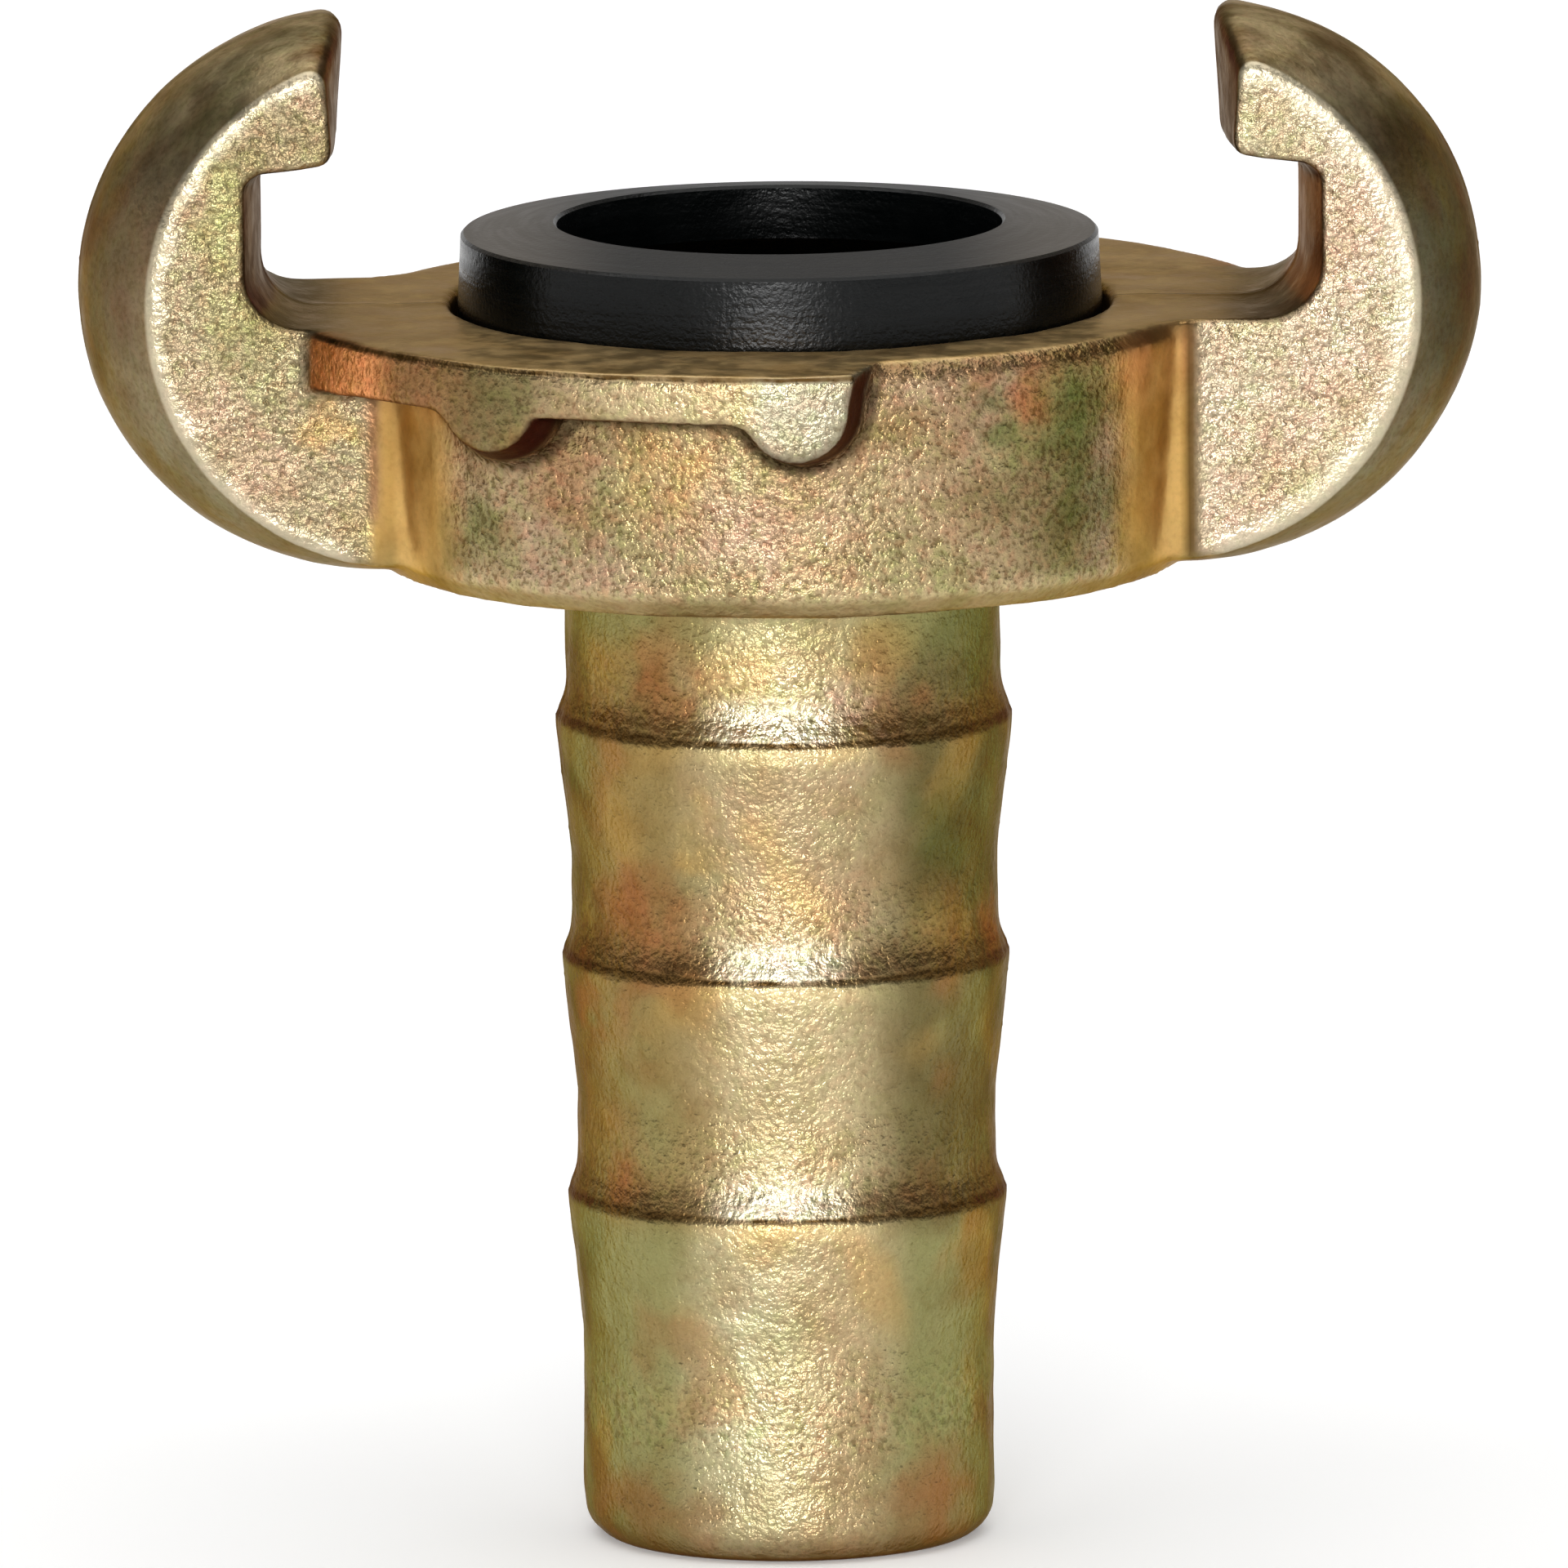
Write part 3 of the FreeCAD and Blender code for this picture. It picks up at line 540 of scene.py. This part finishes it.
def plate_tail(plating):
    """A painted highlight, pale, down the middle; bronze on the left, olive on the right, leaf green at
    the foot, and moss at the two sides, darkened as painted shade.
    """
    tail, x, z = plating.masks["tail"], plating.x, plating.z
    foot, neck = plating.below(15.5, 17.2), plating.above(40.4, 41.6)
    belly = plating.above(29.5, 32.0) * plating.below(38.5, 40.5)
    middle = 1 - plating.outside(2.0, 6.5)
    plating.wash(BRONZE, tail)
    plating.wash(OLIVE, tail * plating.across(-1.0, 6.0))
    plating.wash(LEAF, tail * foot, 0.85)
    # The pale middle, the dimmer gold on the belly, and silver and peach at the foot are a painted
    # highlight down the tail.
    plating.wash(PALE, tail * middle)
    plating.wash(GOLD, tail * middle * belly, 0.75)
    plating.wash(SILVER, tail * foot * middle * (1 - plating.across(-2.0, 1.5)))
    plating.wash(PEACH, tail * foot * middle * plating.across(0.0, 2.5))
    plating.wash(GREEN, tail * neck * plating.above(43.6, 45.6) * (1 - 0.5 * middle), 0.7)
    plating.wash(LEAF, tail * smoothstep(plating.warm, 0.2, 0.9) * (1 - 0.6 * middle), 0.5)
    plating.wash(AMBER, tail * smoothstep(-plating.warm, 0.2, 0.9), 0.35)
    rusty = smoothstep(plating.fine - plating.drift, 0.2, 1.1)
    plating.wash(RUST, tail * rusty * (1 - 0.6 * middle), 0.4)
    # Moss at the two sides: the plating's green, darkened as painted shade where the tail turns away.
    outline = plating.outside(8.6, 10.4)
    plating.wash(MOSS, tail * outline * (0.45 + 0.3 * plating.fine))
    plating.wash(BROWN, tail * plating.below(0.4, 2.0), 0.7)
    # Just above each crease a narrow glint is painted in cream, as a painted highlight, with painted
    # shade in brown beside it.
    sill = tail * (1 - smoothstep(rise_over_crease(z), 0.6, 2.6)) * on_barbs(z)
    glint = 1 - smoothstep(np.abs(x + 0.5), 1.4, 4.2)
    plating.wash(BROWN, sill * (1 - glint), 0.6)
    plating.wash(CREAM, sill * glint, 0.9)
    # Just below each crease lies the crest of the barb, made a little lighter by a painted highlight.
    drop = np.mod(FIRST_CREASE - z, BARB_PITCH)
    crest = smoothstep(drop, 0.1, 0.3) * (1 - smoothstep(drop, 0.6, 1.3))
    crest = crest * (z > BARBS_BOTTOM) * (z < LAST_CREST)
    plating.tinge(LIGHTER, tail * crest * middle)


def plate_head(plating):
    """Gold and pink in front, olive near the right claw, amber at the claws' roots, tan on top. A
    painted highlight lies in the roots' hollows, and painted shade in the right root's corner, under the
    top face's edge and on the faces that look down.
    """
    masks, side = plating.masks, np.abs(plating.x)
    wall, root = masks["wall"], masks["root"]
    plating.wash(OLIVE, wall * plating.across(9.0, 14.0), 0.95)
    plating.wash(BRONZE, wall * plating.above(54.5, 58.0), 0.5)
    plating.wash(PALE, wall * plating.below(48.8, 50.2), 0.8)
    plating.wash(PINK, wall * smoothstep(plating.drift + 0.4 * plating.fine, 0.0, 0.8), 0.5)
    plating.wash(GREEN, wall * smoothstep(plating.warm + 0.5 * plating.fine, 0.2, 0.9), 0.45)
    plating.wash(AMBER, root, 0.9)
    plating.wash(ORANGE, root * plating.above(55.5, 59.5), 0.6)
    plating.wash(OLIVE, root * plating.below(49.2, 52.0), 0.5)
    plating.wash(BRONZE, root * smoothstep(plating.fine, 0.1, 0.8), 0.3)
    # The root's hollow gets a painted highlight in honey. On the right a line of painted shade parts it
    # from the claw's face.
    right = plating.across(-2.0, 2.0)
    hollow_side = side - 0.4 * right
    hollow = smoothstep(hollow_side, 17.0, 17.8) * (1 - smoothstep(hollow_side, 18.6, 19.1))
    plating.wash(HONEY, root * hollow, 0.65)
    corner = smoothstep(side, 19.2, 19.6) * (1 - smoothstep(side, 20.3, 20.5)) * right
    plating.wash(UMBER, corner * (1 - masks["top"]) * (1 - masks["tail"]), 0.85)
    # Painted shade, brown, along the top of the wall under the edge of the top face.
    plating.wash(BROWN, wall * plating.above(59.3, 60.1), 0.6)
    # Painted shade, bronze, on the head's surfaces that face down.
    plating.wash(BRONZE, masks["lower"], 0.5)
    plating.wash(TAN, masks["top"])


def plate_ledges(plating):
    """From orange beside the claw over a dark olive patch to pinkish gold, and grey at the stop."""
    ledge = plating.masks["ledge"]
    plating.wash(GOLD, ledge)
    plating.wash(PALE, ledge * plating.across(-11.5, -8.5), 0.6)
    plating.wash(PINK, ledge * smoothstep(plating.drift + 0.4 * plating.fine, -0.2, 0.7), 0.4)
    plating.wash(OLIVE, ledge * (1 - plating.across(-13.0, -11.0)), 0.75)
    plating.wash(RUST, ledge * (1 - plating.across(-17.5, -14.5)), 0.45)
    plating.wash(ORANGE, ledge * (1 - plating.across(-20.5, -18.5)), 0.95)
    plating.wash(GREY, ledge * plating.across(-2.6, -1.0))


def plate_claws(plating):
    """Grainy pale faces, paler on the right, between smooth bands whose olive brown is painted shade."""
    face, band, throat = (plating.masks[name] for name in ("face", "band", "throat"))
    right = plating.across(-2.0, 2.0)
    plating.wash(LEFT_FACE, face)
    plating.wash(RIGHT_FACE, face * right)
    plating.tinge(PINKER, face * smoothstep(plating.drift + 0.5 * plating.fine, 0.0, 0.8), 0.6)
    plating.tinge(GREENER, face * smoothstep(plating.warm + 0.5 * plating.fine, 0.1, 0.9), 0.6)
    # The bands' dark tones are painted shade where they turn sideways from the front light: darker on
    # the right and less dark towards the tips. Their lighter foot is a painted highlight.
    plating.wash(LEFT_BAND, band)
    plating.wash(RIGHT_BAND, band * right)
    plating.wash(BAND_TOP, band * plating.above(67.5, 72.0))
    foot = plating.below(53.0, 60.0)
    plating.wash(BAND_FOOT, band * foot, 0.85)
    upper = band * (1 - 0.8 * foot)
    plating.wash(EARTH, upper * smoothstep(plating.drift + 0.8 * plating.fine, 0.0, 0.9), 0.6)
    plating.wash(DUST, upper * smoothstep(plating.warm - 0.6 * plating.fine, 0.0, 0.8), 0.5)
    # Both throats are rusty. In front the left throat is painted nearly black, as painted shade, and
    # both hooks' tips are painted dark, as painted shade.
    plating.wash(RUST, throat, 0.5)
    plating.wash(DEEP, throat * (plating.x < 0), 0.95)
    plating.wash(DEEP, plating.masks["tip"], 0.9)


def paint_corners_and_edges(plating, edge):
    """Painted shade in the corners, lighter wear with a painted highlight on edges that stand out, and
    painted shade on the bands' edges. Above 0.5, edge means an edge that stands out.
    """
    masks = plating.masks
    spared = levels(masks, 0.0, tail=0.85, root=0.7, face=1.0, inside=1.0)
    # Painted shade darkens the corners.
    plating.wash(DEEP, (1 - smoothstep(edge, 0.22, 0.42)) * (1 - spared), 0.8)
    standing = smoothstep(edge, 0.60, 0.85)
    brim = masks["wall"] * plating.above(59.0, 60.0)
    # Edges that stand out are lighter: wear, with a painted highlight along them.
    wear_and_edge_light = standing * (1 - masks["top"]) * (1 - masks["band"]) * (1 - brim)
    plating.tinge(LIGHTER, wear_and_edge_light, 0.35)
    # Painted shade darkens the bands' edges, where they turn away.
    plating.wash(UMBER, standing * masks["band"], 0.6)


def skin_colour(places, masks, edge):
    """The plating's tone at each vertex."""
    plating = Plating(places, masks)
    plate_tail(plating)
    plate_head(plating)
    plate_ledges(plating)
    plate_claws(plating)
    for region, stains in STAINS.items():
        for centre, size, tone, strength in stains:
            plating.stain(region, centre, size, tone, strength)
    # Painted shade, maroon, on the flanks of the ledges that face sideways and down.
    plating.wash(MAROON, masks["flank"], 0.95)
    # Painted shade, brown, inside the bore and the chamber.
    plating.wash(BROWN, masks["inside"])
    paint_corners_and_edges(plating, edge)
    return plating.colour


def add_values(mesh, name, values):
    layer = mesh.attributes.new(name, "FLOAT", "POINT")
    layer.data.foreach_set("value", values.astype(np.float32))


def casting_mesh():
    """The cast skin with its relief, and with its tone and grain kept at each vertex."""
    mesh = even_skin("coupling_body")
    near = Neighbours(mesh)
    places = soft_shoulders(near.smoothed(vectors(mesh, "co"), SKIN_SMOOTHING), near)
    set_places(mesh, places)
    normals = vectors(mesh, "normal")
    sharp = regions(places, normals)
    masks = {name: near.blurred(values, MASK_ROUNDS) for name, values in sharp.items()}
    add_values(mesh, "grain", grain_of(masks))
    add_values(mesh, "mottle", mottle_of(places, masks))
    add_values(mesh, "tail", masks["tail"])
    tint = mesh.attributes.new("tint", "FLOAT_COLOR", "POINT")
    colour = skin_colour(places, masks, near.bends(places, normals))
    tint.data.foreach_set("color", colour.astype(np.float32).ravel())
    set_places(mesh, places + normals * cast_relief(places, masks)[:, None])
    mesh = thinned(mesh)
    places = vectors(mesh, "co")
    places[:, 2] = np.maximum(places[:, 2], 0.0)
    set_places(mesh, places)
    mesh.transform(Matrix.Scale(MM, 4))
    mesh.shade_smooth()
    return mesh


# Materials

class Nodes:
    """Builds a node tree. Each call adds one node and gives its output."""

    def __init__(self, material):
        material.use_nodes = True
        self.tree = material.node_tree
        self.tree.nodes.clear()

    def add(self, kind, inputs=(), output=0, **settings):
        node = self.tree.nodes.new(kind)
        for name, value in settings.items():
            setattr(node, name, value)
        for key, value in dict(inputs).items():
            if isinstance(value, bpy.types.NodeSocket):
                self.tree.links.new(value, node.inputs[key])
            else:
                node.inputs[key].default_value = value
        return node.outputs[output] if node.outputs else None

    def place(self):
        """Where the shaded point lies on the object, in millimetres."""
        place = self.add("ShaderNodeTexCoord", output="Object")
        return self.add("ShaderNodeVectorMath", {0: place, "Scale": 1 / MM}, operation="SCALE")

    def split(self, vector):
        node = self.tree.nodes.new("ShaderNodeSeparateXYZ")
        self.tree.links.new(vector, node.inputs[0])
        return node.outputs

    def kept(self, name, output="Fac"):
        """A value or colour that the mesh keeps at its vertices."""
        return self.add("ShaderNodeAttribute", output=output, attribute_name=name)

    def math(self, operation, first, second=0.0):
        return self.add("ShaderNodeMath", {0: first, 1: second}, operation=operation)

    def times(self, first, second):
        return self.math("MULTIPLY", first, second)

    def length(self, first, second):
        """How far a point lies from an origin, from its two distances along two axes."""
        both = self.add("ShaderNodeCombineXYZ", {0: first, 1: second})
        return self.add("ShaderNodeVectorMath", {0: both}, output="Value", operation="LENGTH")

    def mix(self, share, first, second, how="MIX"):
        node = self.tree.nodes.new("ShaderNodeMix")
        node.data_type = "RGBA"
        node.blend_type = how
        sockets = (node.inputs[0], node.inputs[6], node.inputs[7])
        for socket, value in zip(sockets, (share, first, second)):
            if isinstance(value, bpy.types.NodeSocket):
                self.tree.links.new(value, socket)
            else:
                socket.default_value = value
        return node.outputs[2]

    def noise(self, place, size, detail=2.0, roughness=0.6, seed=0.0):
        """Noise whose features are about size millimetres across, where place is in millimetres."""
        shift = (seed, seed * 2, seed * 3)
        moved = self.add("ShaderNodeVectorMath", {0: place, 1: shift}, operation="ADD")
        settings = {"Vector": moved, "Scale": 1 / size, "Detail": detail, "Roughness": roughness}
        return self.add("ShaderNodeTexNoise", settings, output="Fac")

    def ramp(self, value, low, high, bottom=0.0, top=1.0):
        settings = {"Value": value, "From Min": low, "From Max": high, "To Min": bottom, "To Max": top}
        return self.add("ShaderNodeMapRange", settings, interpolation_type="SMOOTHSTEP")


def casting_creases(n, x, y, z, wobble):
    """Thin dark lines: painted shade under each barb's crest and along the ledges' upper edges, and the
    seam's own darker colour.
    """
    barb = n.math("PINGPONG", n.math("SUBTRACT", z, FIRST_CREASE), BARB_PITCH / 2)
    width = n.ramp(n.math("ABSOLUTE", x), *CREASE_WIDENS, *CREASE_WIDTHS)
    barb = n.ramp(n.math("DIVIDE", n.math("ADD", barb, wobble), width), 0.2, 1.0, 1.0, 0.0)
    bottom = n.ramp(z, BARBS_BOTTOM, BARBS_BOTTOM + 1.0)
    reach = n.times(bottom, n.ramp(z, BARBS_TOP, BARBS_TOP + 1.0, 1.0, 0.0))
    barb = n.times(n.times(barb, reach), n.kept("tail"))
    depth = n.math("ABSOLUTE", y)
    lip = n.times(n.ramp(n.length(x, y), *LEDGE_LINE_OUT), n.ramp(depth, *LEDGE_LINE_DEPTH))
    lip = n.times(lip, n.ramp(n.math("ADD", z, wobble), *LEDGE_LINE_UP))
    seam = n.ramp(n.math("ADD", depth, wobble), *SEAM_LINE, 1.0, 0.0)
    return n.math("MAXIMUM", n.math("MAXIMUM", barb, lip), n.times(seam, SEAM_DARKNESS))


def casting_rim(n, x, y, z, wobble):
    """The smooth rim round the back of a claw's face, wider on the right, that gets a pale painted
    highlight.
    """
    across = n.math("SUBTRACT", n.math("ABSOLUTE", x), BACK_ACROSS)
    away = n.length(across, n.math("SUBTRACT", z, BACK_UP))
    right = n.ramp(n.times(x, y), *RIM_SIDES)
    width = n.math("ADD", RIM_WIDTH, n.times(right, RIM_WIDER))
    inset = n.math("SUBTRACT", BACK_RADIUS, n.math("ADD", away, n.times(wobble, RIM_WOBBLE)))
    rim = n.ramp(n.math("DIVIDE", inset, width), 0.1, 1.4, 1.0, 0.0)
    on_face = n.ramp(n.math("ABSOLUTE", y), CLAW_HALF_DEPTH - 0.45, CLAW_HALF_DEPTH - 0.2)
    return n.times(n.times(rim, on_face), n.ramp(n.math("ABSOLUTE", x), *RIM_STARTS))


def casting_colour(n, place, sand, rim, creases):
    """Each grain of the cast skin has its own cast, greener, pinker, lighter or darker."""
    mottle = n.kept("mottle")
    hues = n.noise(place, HUE_SIZE, seed=31.0)
    clouds = n.noise(place, DULL_SIZE, detail=4.0, seed=97.0)
    colour = n.mix(n.times(n.ramp(clouds, 0.42, 0.68), 0.8), n.kept("tint", "Color"), DULLER, "MULTIPLY")
    flecks = [
        (n.times(n.ramp(hues, 0.52, 0.66), mottle), GREENER),
        (n.times(n.ramp(hues, 0.48, 0.34), mottle), PINKER),
        (n.times(n.ramp(sand, 0.50, 0.62), n.times(mottle, 0.7)), LIGHTER),
        (n.times(n.ramp(sand, 0.48, 0.36), n.times(mottle, 0.8)), DARKER),
    ]
    for share, factor in flecks:
        colour = n.mix(share, colour, factor, "MULTIPLY")
    # The rim of each claw's face gets a painted highlight in cream.
    colour = n.mix(n.times(rim, 0.5), colour, CREAM)
    # The creases and the ledges' upper edges get painted shade in umber; on the seam it is its own
    # darker colour.
    uneven = n.ramp(n.noise(place, UNEVEN_SIZE, seed=43.0), 0.35, 0.65, 0.7, 1.0)
    return n.mix(n.times(creases, uneven), colour, UMBER)


def casting_bump(n, place, sand, rim, creases):
    """The sand's grain, smoother on the rims, with the creases a little sunk."""
    lumps = n.noise(place, LUMP_SIZE, seed=57.0)
    height = n.math("SUBTRACT", n.math("ADD", sand, lumps), 1.0)
    even = n.math("SUBTRACT", 1.0, n.times(rim, 0.6))
    height = n.times(height, n.times(n.ramp(n.kept("grain"), 0.0, 1.0, *GRAIN_LEVELS), even))
    height = n.math("SUBTRACT", height, n.times(creases, 0.25))
    return n.add("ShaderNodeBump", {"Strength": 1.0, "Distance": GRAIN_DEPTH, "Height": height})


def casting_material():
    material = bpy.data.materials.new("yellow_chromated_iron")
    n = Nodes(material)
    place = n.place()
    x, y, z = n.split(place)
    sand = n.noise(place, SAND_SIZE, seed=83.0)
    wobble = n.times(n.math("SUBTRACT", n.noise(place, WOBBLE_SIZE, seed=19.0), 0.5), WOBBLE)
    creases = casting_creases(n, x, y, z, wobble)
    rim = casting_rim(n, x, y, z, wobble)
    settings = {
        "Base Color": casting_colour(n, place, sand, rim, creases),
        "Metallic": PLATING_METALLIC,
        "Roughness": n.ramp(n.noise(place, SHEEN_SIZE, seed=71.0), 0.3, 0.7, *PLATING_ROUGHNESS),
        "Normal": casting_bump(n, place, sand, rim, creases),
        "Specular Tint": GRAZING_TONE,
    }
    shader = n.add("ShaderNodeBsdfPrincipled", settings)
    n.add("ShaderNodeOutputMaterial", {"Surface": shader})
    return material


def rubber_material():
    """Black rubber with the fine rings of its turned mould, and a brown painted sheen on its upper side,
    lighter to the left and right.
    """
    material = bpy.data.materials.new("black_rubber")
    n = Nodes(material)
    place = n.place()
    x, y, z = n.split(place)
    turn = n.times(n.math("ARCTAN2", y, x), 1.5)
    rings = n.add("ShaderNodeCombineXYZ", {0: n.length(x, y), 1: z, 2: turn})
    cloud = n.noise(place, RUBBER_CLOUDS)
    turned = n.noise(rings, RUBBER_RINGS, seed=7.0)
    fine = n.noise(place, RUBBER_GRAIN, seed=13.0)
    upward = n.split(n.add("ShaderNodeNewGeometry", output="True Normal"))[2]
    upward = n.ramp(upward, 0.6, 0.95)
    black = n.mix(n.ramp(cloud, 0.35, 0.65), RUBBER, RUBBER_CLOUD)
    # The upper side is painted a brown sheen, lighter still to the left and right: a painted sheen.
    top = n.mix(n.ramp(turned, 0.35, 0.65), RUBBER_TOP, RUBBER_TOP_RINGS)
    top = n.mix(n.ramp(n.math("ABSOLUTE", x), *RUBBER_SHEEN_FROM), top, RUBBER_SHEEN)
    rough = n.ramp(turned, 0.3, 0.7, *RUBBER_ROUGHNESS)
    height = n.math("ADD", fine, n.times(turned, 0.8))
    settings = {
        "Base Color": n.mix(upward, black, top),
        "Roughness": n.math("ADD", rough, n.times(upward, RUBBER_TOP_ROUGHER)),
        "Normal": n.add("ShaderNodeBump", {"Strength": 0.7, "Distance": RUBBER_DEPTH, "Height": height}),
        "Specular IOR Level": 0.2,
    }
    shader = n.add("ShaderNodeBsdfPrincipled", settings)
    n.add("ShaderNodeOutputMaterial", {"Surface": shader})
    return material


# How much the floor glows by itself near the object and far from it, where that changes, and
# the floor's two tones with the size of its mottling. Lengths are in millimetres.
FLOOR_GLOW = 0.22
FAR_GLOW = 0.33
GLOW_RISES = (20.0, 700.0)
FLOOR_DARKER, FLOOR_LIGHTER = (0.89, 0.89, 0.89, 1), (0.91, 0.91, 0.91, 1)
FLOOR_MOTTLE = 20.0


def floor_material():
    """A white floor that keeps its shadows, and is clear when seen from below."""
    material = bpy.data.materials.new("pale_floor")
    n = Nodes(material)
    place = n.place()
    x, y = n.split(place)[:2]
    grain = n.noise(place, FLOOR_MOTTLE, roughness=0.5)
    pale = n.mix(grain, FLOOR_DARKER, FLOOR_LIGHTER)
    shader = n.add("ShaderNodeBsdfDiffuse", {"Color": pale})
    rays = [n.add("ShaderNodeLightPath", output=kind) for kind in ("Is Camera Ray", "Is Glossy Ray")]
    rays.append(n.add("ShaderNodeLightPath", output="Is Transmission Ray"))
    seen = n.math("MAXIMUM", n.math("MAXIMUM", rays[0], rays[1]), rays[2])
    glow = n.times(seen, n.ramp(n.length(x, y), *GLOW_RISES, FLOOR_GLOW, FAR_GLOW))
    glow = n.add("ShaderNodeEmission", {"Color": (1, 1, 1, 1), "Strength": glow})
    lit = n.add("ShaderNodeAddShader", {0: shader, 1: glow})
    clear = n.add("ShaderNodeBsdfTransparent")
    below = n.add("ShaderNodeNewGeometry", output="Backfacing")
    both = n.add("ShaderNodeMixShader", {0: below, 1: lit, 2: clear})
    n.add("ShaderNodeOutputMaterial", {"Surface": both})
    return material


# Pieces

def build_casting():
    piece = link("coupling_casting", casting_mesh())
    piece.data.materials.clear()
    piece.data.materials.append(casting_material())
    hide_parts("coupling_body")
    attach(piece, "root")


def build_ring():
    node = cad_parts["seal_ring"]
    node.data.materials.clear()
    node.data.materials.append(rubber_material())


# Stage

FLOOR_RADIUS = 30.0
ROOM_LEVEL = 0.14
HORIZON_LEVEL = 1.0
HORIZON_FADES = (0.10, 0.30)
# Each lamp: azimuth and elevation in degrees, distance and size in metres, and how bright its face is.
LAMPS = {
    "key": (-4, 9, 1.3, (0.5, 0.36), 15.0),
    "high": (-4, 36, 1.3, (0.3, 0.6), 2.6),
    "overhead": (0, 88, 1.3, (1.8, 1.8), 1.7),
    "back": (180, 50, 1.6, (1.2, 0.8), 0.8),
}


def build_floor():
    bpy.ops.mesh.primitive_circle_add(vertices=96, radius=FLOOR_RADIUS, fill_type="NGON")
    floor = bpy.context.object
    floor.name = "floor"
    floor.data.materials.append(floor_material())


def away_from_aim(azimuth, elevation):
    """The direction from the object to a lamp or the camera. Azimuth 0 is in front."""
    turn, rise = math.radians(azimuth), math.radians(elevation)
    level = math.cos(rise)
    return Vector((math.sin(turn) * level, -math.cos(turn) * level, math.sin(rise)))


def turn_to_aim(holder, away, distance, roll=0.0):
    """Puts a lamp or the camera at a distance in metres and turns it to the middle of the object."""
    holder.location = away * distance + Vector((0, 0, AIM_HEIGHT * MM))
    holder.rotation_mode = "QUATERNION"
    rolled = Matrix.Rotation(roll, 3, "Z").to_quaternion()
    holder.rotation_quaternion = (-away).to_track_quat("-Z", "Y") @ rolled


def area_lamp(name, azimuth, elevation, distance, size, level):
    """A soft box turned to the object. Its level is how bright its face is, where 1 is white."""
    lamp = bpy.data.lights.new(name, "AREA")
    lamp.shape = "RECTANGLE"
    lamp.size, lamp.size_y = size
    lamp.energy = level * math.pi * size[0] * size[1]
    holder = link(name, lamp)
    turn_to_aim(holder, away_from_aim(azimuth, elevation), distance)
    holder.visible_camera = False


def build_world():
    """An even, dim room with a wide white glow at the horizon, where the floor ends."""
    world = bpy.data.worlds.new("studio")
    bpy.context.scene.world = world
    n = Nodes(world)
    way = n.add("ShaderNodeTexCoord", output="Generated")
    rise = n.math("ABSOLUTE", n.split(way)[2])
    level = n.ramp(rise, *HORIZON_FADES, HORIZON_LEVEL, ROOM_LEVEL)
    light = n.add("ShaderNodeBackground", {"Color": (1, 1, 1, 1), "Strength": level})
    n.add("ShaderNodeOutputWorld", {"Surface": light})


def build_camera():
    camera = bpy.data.cameras.new("camera")
    camera.lens = LENS
    camera.sensor_width = SENSOR
    camera.clip_start, camera.clip_end = 0.1, 200.0
    holder = link("camera", camera)
    away = away_from_aim(CAMERA_AZIMUTH, CAMERA_ELEVATION)
    turn_to_aim(holder, away, CAMERA_DISTANCE * MM, -math.radians(CAMERA_ROLL))
    bpy.context.scene.camera = holder


build_camera()
build_casting()
build_ring()
build_floor()
build_world()
for lamp_name, lamp_facts in LAMPS.items():
    area_lamp(lamp_name, *lamp_facts)

bpy.context.scene.view_settings.view_transform = "Standard"
